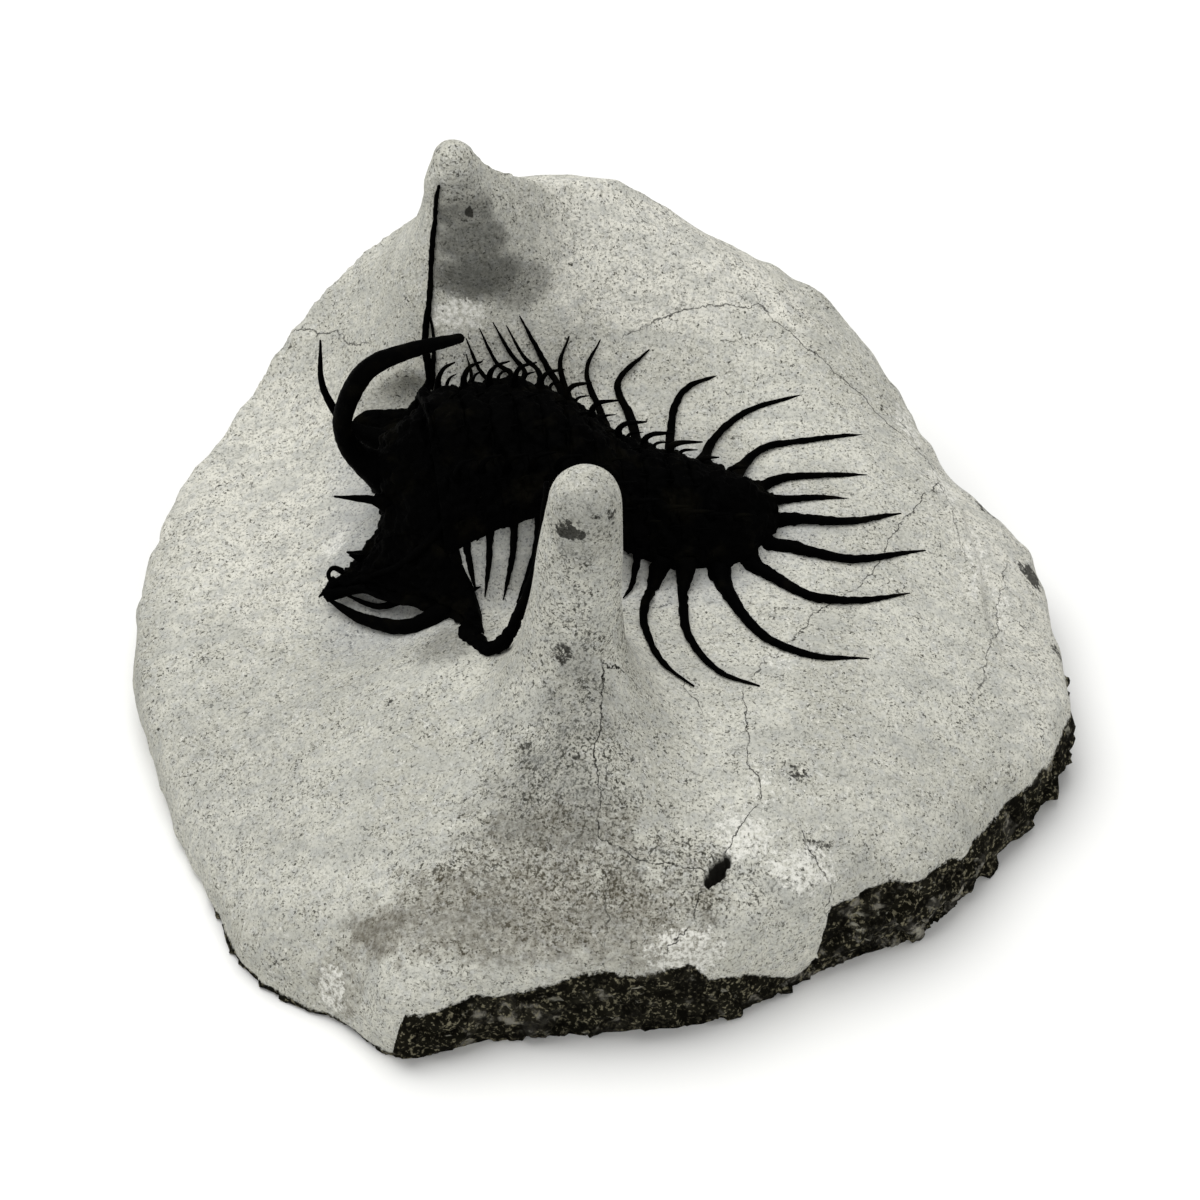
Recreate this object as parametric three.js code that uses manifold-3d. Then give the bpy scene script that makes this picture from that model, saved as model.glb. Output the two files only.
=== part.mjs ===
// Fossil trilobite: a spiny odontopleurid standing free on a carved block of pale limestone.
// Millimetres, +Z up. Origin at the centre of the block's flat base. The head points along -X,
// the tail along +X, and the side the fossil is mostly seen from is -Y ("near"); +Y is "far".
import * as THREE from 'three';
import { mergeVertices } from 'three/addons/utils/BufferGeometryUtils.js';
import Module from 'manifold-3d';

const wasm = await Module();
wasm.setup();

// ---------------------------------------------------------------- driving dimensions (mm)

const GAP = 0.3;               // clearance kept between neighbouring pieces
const SLIVER = 0.08;           // details finer than this are dropped from the finished pieces
const SEGMENTS = 10;           // thoracic segments
const THORAX_START = -17.9;    // X of the joint between head and thorax, on the midline
const SEGMENT_PITCH = 2.78;
const TAIL_END = 19.5;
const NEAR = -1;
const FAR = 1;

// Rim of the block: [bearing in degrees, radius, height of the rim].
const RIM = [
  [-166, 50.5, 4.5], [-146, 51.5, 2], [-133, 54.5, 1.5], [-121, 53.5, 2], [-113, 55, 6],
  [-104, 50, 8.5], [-90, 47.5, 10.5], [-78, 47.5, 11], [-54, 46, 11.5], [-44, 48.5, 10], [-28, 49, 8],
  [-12, 52.5, 8], [5, 51.5, 8], [18, 51.5, 9], [33, 48.5, 11.5], [43, 49.5, 15], [54, 50.5, 21],
  [66, 51, 24], [90, 51, 29.5], [113, 52.5, 29], [130, 53.5, 23.5], [142, 53.5, 16],
  [155, 54, 11.5], [167, 53.5, 8], [180, 52, 6.5],
];
const FOOT_INSET = { front: 0.6, back: 2.5 };   // how far the side draws in at its foot
const PLATEAU = 22;            // height of the prepared floor round the tail
const BACK_RIDGE = 17;         // how far the back ridge stands above the floor

// Body of the animal: [x, y of the midline, z of the side edge, half width, arch height].
const BODY = [
  [-18, 9.5, 26.5, 11.5, 9.5], [-14.5, 9.5, 28.5, 11, 8], [-11, 10, 30, 11, 6], [-6.5, 10, 30.5, 10.5, 5.5],
  [-3, 9.5, 29, 10, 6], [0, 9, 27, 10, 6], [3, 8.5, 25, 9.5, 5.5], [6, 8, 23.5, 9, 6.5],
  [11, 7.5, 23, 8, 6], [15.5, 7, 23, 6, 5], [TAIL_END, 7, 23, 2.5, 2.5],
];
const ROLL = 0.06;             // how far the back leans over to the far side, mm down for each mm across
const YAW = [[-18, 0.17], [0, 0.15], [TAIL_END, 0.05]];   // [x, sine of each segment's turn about Z]

// Pillars of matrix that carry the two cheek spines: [height, x, y, radius], from the foot up.
const NEAR_PILLAR = [
  [16, -3.5, -20.5, 10.5], [20, -3.5, -19.5, 8.5], [24, -3.5, -18, 7], [28, -3, -17.5, 6],
  [34, -2.5, -16.5, 5], [41, -2, -15.5, 4.5], [47.5, -1.5, -15, 4],
];
const FAR_PILLAR = [
  [26, -10, 39, 11], [31, -11.5, 39.5, 10], [36, -13, 39, 7.5], [40, -14.5, 38, 5.5],
  [44, -15.5, 37.5, 4], [47.5, -16.5, 36.5, 3], [50.5, -16.5, 36.5, 2],
];

// Crest of the ridge that runs down from the far pillar, and how steeply its sides fall.
const FAR_CREST = [
  [-14.5, 37, 48], [-10, 39, 46], [-6.5, 41, 43], [-3, 43, 41], [2, 45, 38.5], [8, 46, 32],
];
const CREST_FALL = 1.7;

// Routes of the long spines of the head, each a list of points.
const HORN = [
  [-23.5, 10, 27.5], [-27, 10, 31], [-28, 9.5, 36], [-25, 9.5, 43.5], [-21, 9.5, 46], [-15, 9.5, 48],
];
const EYE_SPINES = {
  [NEAR]: [[-23, 6.5, 26.5], [-25, 6, 27.5], [-29, 6, 28]],
  [FAR]: [[-23.5, 16, 26.5], [-28, 17, 28.5], [-30.5, 17.5, 33.5], [-30.5, 17, 41]],
};
const CHEEK_SPINES = {
  [NEAR]: [
    [-14.5, -7.5, 20.5], [-12, -11.5, 22], [-10.5, -12, 23.5], [-8.5, -12, 28.5],
    [-6.5, -12.5, 37.5], [-5.5, -13.5, 48.5],
  ],
  [FAR]: [
    [-21.5, 24.5, 22.5], [-19, 26, 27.5], [-19.5, 28, 30.5], [-19, 30.5, 35],
    [-18.5, 33.5, 42], [-17.5, 34.5, 48.5],
  ],
};

// The pleural spines beyond the edge of the shell, front to back, each out to its tip.
const PLEURAL_SPINES = {
  [NEAR]: [
    [[-14, -2.5, 25.5], [-13.5, -3.5, 23]],
    [[-12, -2, 26.5], [-12.5, -4, 22.5]],
    [[-9.5, -2, 27], [-10.5, -4, 22]],
    [[-7, -1.5, 27.5], [-9, -4.5, 22]],
    [[-4.5, -2.5, 25.5], [-5.5, -5, 22.5]],
    [[-2, -3, 24.5], [-2, -5.5, 22.5]],
    [[1, -3, 23.5], [1, -6, 22.5]],
    [[3.5, -2.5, 23], [2.5, -4.5, 22.5]],
    [[5.5, -3, 22], [4.5, -8.5, 22.5], [6, -14, 22.5], [10, -17, 22]],
    [[9, -4, 22], [9.5, -10, 22], [13, -15, 22], [17, -16.5, 21.5]],
  ],
  [FAR]: [
    [[-14.5, 24.5, 28.5], [-15, 26.5, 30.5]],
    [[-12.5, 24.5, 28], [-13.5, 25.5, 29], [-15, 27.5, 32]],
    [[-10, 25.5, 28.5], [-11.5, 26, 29.5], [-13.5, 28, 33]],
    [[-8.5, 26, 28.5], [-10, 27, 30], [-12, 28.5, 33.5]],
    [[-7, 26, 28.5], [-8.5, 26.5, 30], [-10.5, 28.5, 33]],
    [[-4.5, 25, 26.5], [-6.5, 27.5, 29], [-9, 29.5, 33.5]],
    [[-3.5, 25, 25.5], [-4.5, 27.5, 28], [-3.5, 30, 30]],
    [[0, 24, 24], [-1.5, 27.5, 27], [0, 30.5, 29]],
    [[3.5, 23, 23.5], [2, 27, 25.5], [5.5, 30.5, 27.5]],
    [[8, 22, 23], [8.5, 25, 24], [10, 27, 25], [13.5, 28.5, 25.5]],
  ],
};
// The tail spines, front to back, each from its root on the shell.
const TAIL_SPINES = {
  [NEAR]: [
    [[12.5, 2, 23.5], [14, -3.5, 22], [17.5, -9.5, 21.5], [23, -12, 21], [29, -11, 20]],
    [[14.5, 3.5, 23.5], [18, 0, 22], [23, -3.5, 21.5], [28, -3, 20.5], [34, 0.5, 18.5]],
    [[15.5, 5.5, 23.5], [20, 4, 22], [27, 3, 21], [36, 7.5, 18]],
    [[16.5, 8, 23.5], [21, 8, 22], [27, 8.5, 21], [33.5, 12, 19.5]],
  ],
  [FAR]: [
    [[11, 14.5, 23.5], [12.5, 20, 22.5], [16, 24, 23.5], [23.5, 27.5, 23.5]],
    [[14, 12.5, 23.5], [18, 19, 22.5], [24, 21, 22], [30.5, 23.5, 21]],
    [[16, 11.5, 23.5], [20, 14.5, 22], [25, 15.5, 22], [30.5, 17, 20.5]],
    [[17, 10.5, 23.5], [22, 11.5, 22], [27.5, 12.5, 21.5]],
  ],
};

// Head shield as rows of points, from the back of the head to its front edge, and in each row
// from the near cheek's edge to the far one's.
const HEAD_NET = [
  [[-12, -11, 22], [-13, -6.5, 22], [-15, -2.5, 26], [-16.5, 3.5, 34], [-18, 9.5, 36],
    [-18.5, 15.5, 34.5], [-19.5, 19.5, 30], [-20, 22.5, 25], [-21.5, 25.5, 22]],
  [[-17, -4, 20], [-18.5, -2.5, 22.5], [-19.5, 1, 27], [-20.5, 5.5, 32], [-21, 10, 34],
    [-21, 14.5, 31], [-21.5, 18, 26], [-23, 21.5, 23], [-24, 26, 21.5]],
  [[-24, -0.5, 18.5], [-23.5, 1.5, 20.5], [-23.5, 3.5, 24], [-23.5, 6.5, 28], [-23.5, 10.5, 31],
    [-23.5, 14, 28.5], [-24, 17, 24.5], [-25, 21, 22], [-26.5, 26.5, 21]],
  [[-27, 1, 18.5], [-26, 3, 19.5], [-25, 5.5, 21], [-24, 8, 24.5], [-24, 11, 26.5],
    [-24.5, 13.5, 25], [-25.5, 17, 22.5], [-26.5, 21, 21], [-27.5, 26, 20.5]],
  [[-30.5, 1.5, 17], [-29, 4, 17.5], [-27, 6.5, 17.5], [-24.5, 9, 18], [-24, 11.5, 18],
    [-24.5, 13.5, 18.5], [-25, 17, 19], [-26.5, 21.5, 19.5], [-28, 25, 20]],
];
const SUTURE = 0.5;            // where the free cheeks part from the middle of the head shield
const SHELL = 1.2;             // thickness of the head shield
// Outer band of the near cheek, below a window of rock.
const CHEEK_BAND = [[-30.5, 2, 16.5], [-26, -1, 16], [-20.5, -4, 18], [-16.5, -3.5, 20.5]];
// The rock that fills the head: [x, y, z] and radii.
const HEAD_FILL = [[-19.5, 2, 18.5], [-20, 11, 23], [-22, 24, 18.5]];
const HEAD_FILL_RADII = [2.4, 3.2, 2.2];

// ---------------------------------------------------------------- materials

const limestone = new THREE.MeshStandardMaterial({ color: '#bdbcb0', roughness: 0.9, metalness: 0 });
const shell = new THREE.MeshStandardMaterial({ color: '#0c0b0a', roughness: 0.5, metalness: 0 });

// ---------------------------------------------------------------- numbers and curves

const lerp = THREE.MathUtils.lerp;
const degrees = THREE.MathUtils.radToDeg;

function smooth(value) {
  return THREE.MathUtils.smoothstep(value, 0, 1);
}

// Straight-line interpolation in a table whose first column rises.
function lookUp(table, at) {
  const last = table.length - 2;
  const found = table.findIndex((row, i) => i > 0 && at < row[0]) - 1;
  const i = found < 0 ? (at < table[0][0] ? 0 : last) : found;
  const share = THREE.MathUtils.clamp((at - table[i][0]) / (table[i + 1][0] - table[i][0]), 0, 1);
  return table[i].slice(1).map((value, k) => lerp(value, table[i + 1][k + 1], share));
}

// Smooth interpolation round the rim, in one full turn: returns [radius, rim height].
function rimAt(bearing) {
  const count = RIM.length;
  const turn = THREE.MathUtils.euclideanModulo(degrees(bearing) - RIM[0][0], 360) + RIM[0][0];
  const row = (k) => {
    const [angle, radius, height] = RIM[THREE.MathUtils.euclideanModulo(k, count)];
    return [angle + 360 * Math.floor(k / count), radius, height];
  };
  let i = 0;
  while (row(i + 1)[0] <= turn) i += 1;
  const [before, from, to, after] = [row(i - 1), row(i), row(i + 1), row(i + 2)];
  const span = to[0] - from[0];
  const s = (turn - from[0]) / span;
  return [1, 2].map((k) => {
    const slopeFrom = ((to[k] - before[k]) / (to[0] - before[0])) * span;
    const slopeTo = ((after[k] - from[k]) / (after[0] - from[0])) * span;
    return (2 * s ** 3 - 3 * s ** 2 + 1) * from[k] + (s ** 3 - 2 * s ** 2 + s) * slopeFrom
      + (3 * s ** 2 - 2 * s ** 3) * to[k] + (s ** 3 - s ** 2) * slopeTo;
  });
}

// How far the block's side draws in at its foot: more at the back than at the front.
function footInset(bearing) {
  return lerp(FOOT_INSET.front, FOOT_INSET.back, smooth(0.5 + 1.3 * Math.sin(bearing)));
}

function curveThrough(points) {
  const places = points.map((point) => new THREE.Vector3(...point));
  return new THREE.CatmullRomCurve3(places, false, 'centripetal');
}

// A rounded mound of height 1 at (cx, cy), falling off over rx and ry, turned by `turn` radians.
function mound(x, y, cx, cy, rx, ry, turn = 0) {
  const along = Math.cos(turn) * (x - cx) + Math.sin(turn) * (y - cy);
  const across = Math.cos(turn) * (y - cy) - Math.sin(turn) * (x - cx);
  return Math.exp(-((along / rx) ** 2) - (across / ry) ** 2);
}

// Height of the prepared rock surface at (x, y), without its pillars and the bed under the animal.
function rockHeight(x, y) {
  const bearing = Math.atan2(y, x);
  const [radius, rim] = rimAt(bearing);
  const out = Math.min(Math.hypot(x, y) / radius, 1);
  const back = smooth(1.6 * Math.sin(bearing));
  const left = smooth(-Math.cos(bearing));
  const roundness = 2 + 1.5 * smooth(Math.cos(bearing)) + back * (6 - 5 * left) + left;
  const crown = PLATEAU - 7 * smooth((-x - 12) / 30) - 5 * smooth((x - 22) / 26);
  return rim + (crown - rim) * Math.sqrt(1 - out ** roundness)
    + BACK_RIDGE * mound(x, y, -6, 44, 26, 13, -0.14) * smooth((1.12 - out) / 0.25)
    + 8 * mound(x, y, -1, -25, 6.5, 14) * smooth((1 - out) / 0.3)
    - 3 * mound(x, y, -24, -3, 9, 7);
}

// ---------------------------------------------------------------- solids

// A closed body from a row of rings with equal point counts, capped at both ends.
function loft(rings) {
  const around = rings[0].length;
  const points = rings.flat().concat([centreOf(rings[0]), centreOf(rings.at(-1))]);
  const startCap = rings.length * around;
  const triangles = [];
  for (let k = 0; k < around; k += 1) {
    const next = (k + 1) % around;
    for (let i = 0; i + 1 < rings.length; i += 1) {
      const [a, b] = [i * around + k, i * around + next];
      triangles.push(a, b, b + around, a, b + around, a + around);
    }
    const end = (rings.length - 1) * around;
    triangles.push(startCap, next, k, startCap + 1, end + k, end + next);
  }
  return solid(points, triangles);
}

// A closed sheet between two grids of points, each a list of rows.
function sheet(outer, inner) {
  const rows = outer.length;
  const columns = outer[0].length;
  const below = rows * columns;
  const triangles = [];
  const quad = (a, b, c, d) => triangles.push(a, b, c, a, c, d);
  for (let i = 0; i + 1 < rows; i += 1) {
    for (let k = 0; k + 1 < columns; k += 1) {
      const a = i * columns + k;
      quad(a, a + 1, a + 1 + columns, a + columns);
      quad(below + a + columns, below + a + 1 + columns, below + a + 1, below + a);
    }
  }
  const across = Array.from({ length: columns - 1 }, (_, k) => k);
  const down = Array.from({ length: rows - 1 }, (_, i) => i * columns);
  const last = below - 1;
  const border = [
    ...across,
    ...down.map((i) => i + columns - 1),
    ...across.map((k) => last - k),
    ...down.map((i) => last - columns + 1 - i),
  ];
  border.forEach((a, k) => {
    const b = border[(k + 1) % border.length];
    quad(b, a, below + a, below + b);
  });
  return solid(outer.flat().concat(inner.flat()), triangles);
}

function centreOf(ring) {
  const centre = new THREE.Vector3();
  ring.forEach((point) => centre.addScaledVector(point, 1 / ring.length));
  return centre;
}

// A manifold solid from points and triangles, turned to face outward.
function solid(points, triangles) {
  const geometry = new THREE.BufferGeometry().setFromPoints(points);
  geometry.setIndex(triangles);
  const merged = mergeVertices(geometry, 1e-4);
  const flat = Array.from(merged.index.array);
  const kept = [];
  let volume = 0;
  const corner = (k) => new THREE.Vector3().fromBufferAttribute(merged.attributes.position, k);
  for (let i = 0; i < flat.length; i += 3) {
    const [a, b, c] = flat.slice(i, i + 3);
    if (a === b || b === c || c === a) continue;
    kept.push(a, b, c);
    volume += corner(a).dot(corner(b).cross(corner(c)));
  }
  if (volume < 0) kept.reverse();
  return new wasm.Manifold(new wasm.Mesh({
    numProp: 3,
    vertProperties: new Float32Array(merged.attributes.position.array),
    triVerts: new Uint32Array(kept),
  }));
}

function join(solids) {
  return solids.reduce((whole, piece) => whole.add(piece));
}

// `body` with `room` cut out of it, without the crumbs that the cut leaves.
function cut(body, room) {
  const pieces = body.subtract(room).decompose();
  return pieces.reduce((largest, piece) => (piece.volume() > largest.volume() ? piece : largest));
}

// A mesh of the body, without the slivers that its joins and cuts leave.
function named(name, body, material) {
  const { vertProperties, triVerts } = body.simplify(SLIVER).getMesh();
  const geometry = new THREE.BufferGeometry();
  geometry.setAttribute('position', new THREE.BufferAttribute(new Float32Array(vertProperties), 3));
  geometry.setIndex(new THREE.BufferAttribute(new Uint32Array(triVerts), 1));
  const mesh = new THREE.Mesh(geometry, material);
  mesh.name = name;
  return mesh;
}

// A tapered tube through `route`, its radii given at equal steps along it, and `grow` larger all over.
function taperedTube(route, radii, sides, steps, grow = 0) {
  const curve = curveThrough(route);
  const frames = curve.computeFrenetFrames(steps, false);
  const rings = [];
  for (let i = 0; i <= steps; i += 1) {
    const at = (i / steps) * (radii.length - 1);
    const from = Math.min(Math.floor(at), radii.length - 2);
    const radius = lerp(radii[from], radii[from + 1], at - from) + grow;
    const past = (i === steps) - (i === 0);
    const centre = curve.getPointAt(i / steps).addScaledVector(frames.tangents[i], grow * past);
    rings.push(Array.from({ length: sides }, (_, k) => {
      const angle = (2 * Math.PI * k) / sides;
      return centre.clone()
        .addScaledVector(frames.normals[i], radius * Math.cos(angle))
        .addScaledVector(frames.binormals[i], radius * Math.sin(angle));
    }));
  }
  return loft(rings);
}

// A pillar with a round top, from its stations: [height, x, y, radius], from the foot up.
function pillar(stations, sides) {
  const [top, topX, topY, topRadius] = stations.at(-1);
  const dome = [30, 60, 80].map((rise) => {
    const angle = THREE.MathUtils.degToRad(rise);
    return [top + topRadius * Math.sin(angle), topX, topY, topRadius * Math.cos(angle)];
  });
  return loft(stations.concat(dome).map(([z, x, y, radius]) => Array.from({ length: sides }, (_, k) => {
    const angle = (2 * Math.PI * k) / sides;
    return new THREE.Vector3(x + radius * Math.cos(angle), y + radius * Math.sin(angle), z);
  })));
}

// ---------------------------------------------------------------- the rock

function rockBody() {
  const sectors = 40;
  const levels = [0.12, 0.26, 0.4, 0.53, 0.65, 0.75, 0.84, 0.91, 0.96, 1];
  const ring = (place) => Array.from({ length: sectors }, (_, k) => {
    const bearing = (2 * Math.PI * k) / sectors;
    const [radius, rim] = rimAt(bearing);
    const [reach, z] = place(bearing, radius, rim);
    return new THREE.Vector3(reach * Math.cos(bearing), reach * Math.sin(bearing), z);
  });
  const top = levels.map((level) => ring((bearing, radius) => {
    const reach = level * radius;
    return [reach, rockHeight(reach * Math.cos(bearing), reach * Math.sin(bearing))];
  }));
  const wall = [
    ring((_, radius, rim) => [radius, 0.6 * rim]),
    ring((bearing, radius) => [radius - footInset(bearing), 0]),
  ];
  return loft(top.concat(wall));
}

// The raised bed of rock that the body lies on. Its sides spread towards its foot.
function pedestal() {
  const foot = 17;
  const spread = 0.4;
  const inset = 0.9;
  const seat = GAP + 0.15;
  const rings = [-14, -11, -6.5, -3, 0, 3, 6, 11, 15.5].map((x) => {
    const [mid, edge, half] = lookUp(BODY, x);
    const [yaw] = lookUp(YAW, x);
    const corner = (side, reach, z) => new THREE.Vector3(x - side * reach * yaw, mid + side * reach, z);
    const top = (side) => corner(side, half - inset, edge - ROLL * side * (half - inset) - seat);
    const below = half - inset + spread * (edge - foot);
    return [corner(NEAR, below, foot), corner(FAR, below, foot), top(FAR), top(NEAR)];
  });
  return loft(rings);
}

// The ridge behind the animal: steep slopes on both sides of a crest line.
function farCrest() {
  const nearFoot = 24;
  const farFoot = 30;
  return loft(FAR_CREST.map(([x, y, z]) => [
    new THREE.Vector3(x, y - (z - nearFoot) / CREST_FALL, nearFoot),
    new THREE.Vector3(x, y, z),
    new THREE.Vector3(x, y + Math.max(z - farFoot, 1) / CREST_FALL, farFoot - 1),
  ]));
}

// The rock, cut back by GAP wherever a piece of the animal lies on it or runs into it.
function matrix() {
  const headFill = taperedTube(HEAD_FILL, HEAD_FILL_RADII, 10, 6);
  const rock = join([
    rockBody(), pedestal(), headFill, pillar(NEAR_PILLAR, 12), pillar(FAR_PILLAR, 12), farCrest(),
  ]);
  const room = join([cranidium(GAP), ...[NEAR, FAR].flatMap((side) => [
    librigena(side, GAP),
    ...PLEURAL_SPINES[side].map((_, k) => pleuralSpine(side, k, GAP)),
    ...TAIL_SPINES[side].map((_, k) => tailSpine(side, k, GAP)),
  ])]);
  return cut(rock, room);
}

// ---------------------------------------------------------------- the animal

// A point on the arched back: x along the midline, s from -1 (near edge) to 1 (far edge). `lift` raises
// the back, and `grow` also spreads its edges.
function bodyPoint(x, s, lift = 0, grow = 0) {
  const [mid, edge, half, arch] = lookUp(BODY, x);
  const [yaw] = lookUp(YAW, x);
  const angle = (s * Math.PI) / 2;
  const axisLobe = 0.9 * Math.exp(-((s / 0.24) ** 2));
  const across = (half + grow) * Math.sin(angle);
  const up = (arch + axisLobe + lift + 2 * grow) * Math.cos(angle) - grow;
  return new THREE.Vector3(x - across * yaw, mid + across, edge + up - ROLL * across);
}

// A closed outline of the body at x: over the back from near to far, then flat underneath.
function bodySection(x, lift, grow = 0) {
  const over = 10;
  const section = Array.from({ length: over + 1 }, (_, k) => bodyPoint(x, -1 + (2 * k) / over, lift, grow));
  const [near, far] = [section[0], section.at(-1)];
  const under = [0.67, 0.33].map((share) => new THREE.Vector3().lerpVectors(near, far, share));
  return section.concat(under);
}

// A short thorn on the back: it rises from the shell and bends towards the tail.
// `lean` runs from 0, upright, to 1, bent well back.
function backHook(x, s, length, lean) {
  const foot = bodyPoint(x, s, -0.6);
  const out = foot.clone().sub(bodyPoint(x, 0, -30)).setComponent(0, 0).normalize();
  const place = (rise, back) => foot.clone()
    .addScaledVector(out, length * rise)
    .add(new THREE.Vector3(length * back, 0, 0))
    .toArray();
  const route = [place(0, 0), place(0.75 - 0.35 * lean, 0.12), place(1.1 - 0.6 * lean, 0.45 + 0.5 * lean)];
  return taperedTube(route, [0.55, 0.4, 0.2], 4, 2);
}

// Where a pleural spine starts, just inside the edge of the shell.
function pleuralRoot(side, x) {
  const nearEdge = 0.96;
  const inward = 0.7;
  const up = 0.55;
  const root = bodyPoint(x, side * nearEdge);
  return [root.x, root.y - side * inward, root.z + up];
}

function pleuralSpine(side, k, grow = 0) {
  const root = pleuralRoot(side, THORAX_START + SEGMENT_PITCH * (k + 0.5));
  const route = PLEURAL_SPINES[side][k];
  const radii = side === NEAR ? [0.65, 0.55, 0.45, 0.3] : [0.5, 0.42, 0.36, 0.25];
  return taperedTube([root, ...route], radii, 4, 1 + route.length, grow);
}

function thoraxSegment(k) {
  const start = THORAX_START + SEGMENT_PITCH * k + GAP / 2;
  const end = start + SEGMENT_PITCH - GAP;
  const centre = (start + end) / 2;
  const lean = k / (SEGMENTS - 1);
  const hooks = [NEAR, FAR].map((side) => backHook(centre, side * 0.42, 3.4, lean));
  const spines = [NEAR, FAR].map((side) => pleuralSpine(side, k));
  const band = loft([bodySection(start, -0.3), bodySection(centre, 0.3), bodySection(end, 0)]);
  return join([band, ...hooks, ...spines]);
}

function tailSpine(side, k, grow = 0) {
  return taperedTube(TAIL_SPINES[side][k], [1.2, 0.75, 0.55, 0.45, 0.25], 5, 5, grow);
}

function pygidium() {
  const start = THORAX_START + SEGMENT_PITCH * SEGMENTS + GAP / 2;
  const stations = [start, 12.6, 14.8, 16.8, 18.4, TAIL_END];
  const shield = loft(stations.map((x, k) => bodySection(x, k % 2 ? 0.3 : 0)));
  const spines = [NEAR, FAR].flatMap((side) => TAIL_SPINES[side].map((_, k) => tailSpine(side, k)));
  const hooks = [11.6, 14.6].flatMap((x) => [NEAR, FAR].map((side) => backHook(x, side * 0.4, 2, 1)));
  return join([shield, ...spines, ...hooks]);
}

// A point of the head shield: s from -1 to 1 across, v from 0 to 1 forward, sunk inward by `depth`
// and moved `past` forward.
function headPoint(s, v, depth = 0, past = 0) {
  const line = curveThrough(HEAD_NET.map((row) => curveThrough(row).getPoint((s + 1) / 2).toArray()));
  const point = line.getPoint(v).addScaledVector(line.getTangent(v), past);
  const heart = new THREE.Vector3(-16, 0.5 * (point.y + 11), 19);
  return point.addScaledVector(heart.sub(point).normalize(), depth);
}

// A plate of the head shield between two values of s, `grow` thicker on each face and longer at each end.
function headPlate(from, to, across, grow) {
  const forward = 7;
  const face = (depth) => Array.from({ length: forward + 1 }, (_, i) => {
    const past = grow * ((i === forward) - (i === 0));
    return Array.from(
      { length: across + 1 },
      (__, k) => headPoint(lerp(from, to, k / across), i / forward, depth, past),
    );
  });
  return sheet(face(-grow), face(SHELL + grow));
}

// The room that the front of the thorax takes up inside the back of the head.
function thoraxRoom() {
  const sections = [-18.2, -14.5, -11].map((x) => bodySection(x, 0.3, GAP));
  const spines = [NEAR, FAR].flatMap((side) => [0, 1].map((k) => pleuralSpine(side, k, GAP)));
  return join([loft(sections), ...spines]);
}

// Half the slit between the plates of the head shield, as a share of its width.
function suture(grow) {
  const shieldWidth = 15;
  return (GAP / 2 - grow) / shieldWidth;
}

// The pieces of the head keep clear of the thorax. Grown, they only take up room in the rock.
function trimmed(plate, grow) {
  return grow > 0 ? plate : cut(plate, thoraxRoom());
}

function cranidium(grow = 0) {
  const side = SUTURE - suture(grow);
  const plate = headPlate(-side, side, 8, grow);
  const horn = taperedTube(HORN, [2.1, 1.3, 1, 1.1, 0.95, 0.75, 0.45], 8, 10, grow);
  const eyeSpines = [NEAR, FAR].map((eye) => taperedTube(EYE_SPINES[eye], [0.9, 0.45, 0.25], 5, 4, grow));
  return join([trimmed(plate, grow), horn, ...eyeSpines]);
}

function cheekSpine(side, grow) {
  return taperedTube(CHEEK_SPINES[side], [1.3, 0.95, 0.7, 0.5, 0.45, 0.4, 0.35], 5, 12, grow);
}

function librigena(side, grow = 0) {
  const inner = SUTURE + suture(grow);
  const plate = side === NEAR ? headPlate(-1, -inner, 4, grow) : headPlate(inner, 1, 4, grow);
  const edge = [0, 0.25, 0.5, 0.75, 1].map((v) => headPoint(side, v).toArray());
  const rim = taperedTube(edge, [1, 0.8, 0.6], 5, 6, grow);
  const cheek = [trimmed(join([plate, rim]), grow), cheekSpine(side, grow)];
  if (side === NEAR) cheek.push(taperedTube(CHEEK_BAND, [0.4, 0.7, 0.9, 1.2], 5, 6, grow));
  return join(cheek);
}

// ---------------------------------------------------------------- assembly

const group = new THREE.Group();
group.add(named('matrix', matrix(), limestone));
group.add(named('cranidium', cranidium(), shell));
group.add(named('librigena_near', librigena(NEAR), shell));
group.add(named('librigena_far', librigena(FAR), shell));
for (let k = 0; k < SEGMENTS; k += 1) {
  group.add(named(`thorax_segment_${String(k + 1).padStart(2, '0')}`, thoraxSegment(k), shell));
}
group.add(named('pygidium', pygidium(), shell));

export default group;
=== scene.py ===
import functools
import math

import bmesh
import bpy
import numpy as np
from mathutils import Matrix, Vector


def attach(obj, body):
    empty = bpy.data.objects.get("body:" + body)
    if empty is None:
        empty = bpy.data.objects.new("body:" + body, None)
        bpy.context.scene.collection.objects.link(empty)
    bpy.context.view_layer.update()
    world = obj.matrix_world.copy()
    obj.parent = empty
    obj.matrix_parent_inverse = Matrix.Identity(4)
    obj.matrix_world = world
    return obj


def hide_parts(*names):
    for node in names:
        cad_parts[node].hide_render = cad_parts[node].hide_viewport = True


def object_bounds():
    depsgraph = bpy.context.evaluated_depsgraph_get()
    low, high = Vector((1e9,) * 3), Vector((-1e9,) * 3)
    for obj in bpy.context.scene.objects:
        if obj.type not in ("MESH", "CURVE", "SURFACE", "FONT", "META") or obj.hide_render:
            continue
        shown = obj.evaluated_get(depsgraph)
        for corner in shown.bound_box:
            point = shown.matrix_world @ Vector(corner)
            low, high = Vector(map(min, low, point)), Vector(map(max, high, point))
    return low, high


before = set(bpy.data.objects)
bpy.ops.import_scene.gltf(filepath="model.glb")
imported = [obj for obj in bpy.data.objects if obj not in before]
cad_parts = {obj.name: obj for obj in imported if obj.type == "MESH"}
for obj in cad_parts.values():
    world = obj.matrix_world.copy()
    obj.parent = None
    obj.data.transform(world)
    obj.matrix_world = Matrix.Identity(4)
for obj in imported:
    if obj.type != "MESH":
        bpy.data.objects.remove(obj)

import openvdb
from mathutils import Vector

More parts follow.
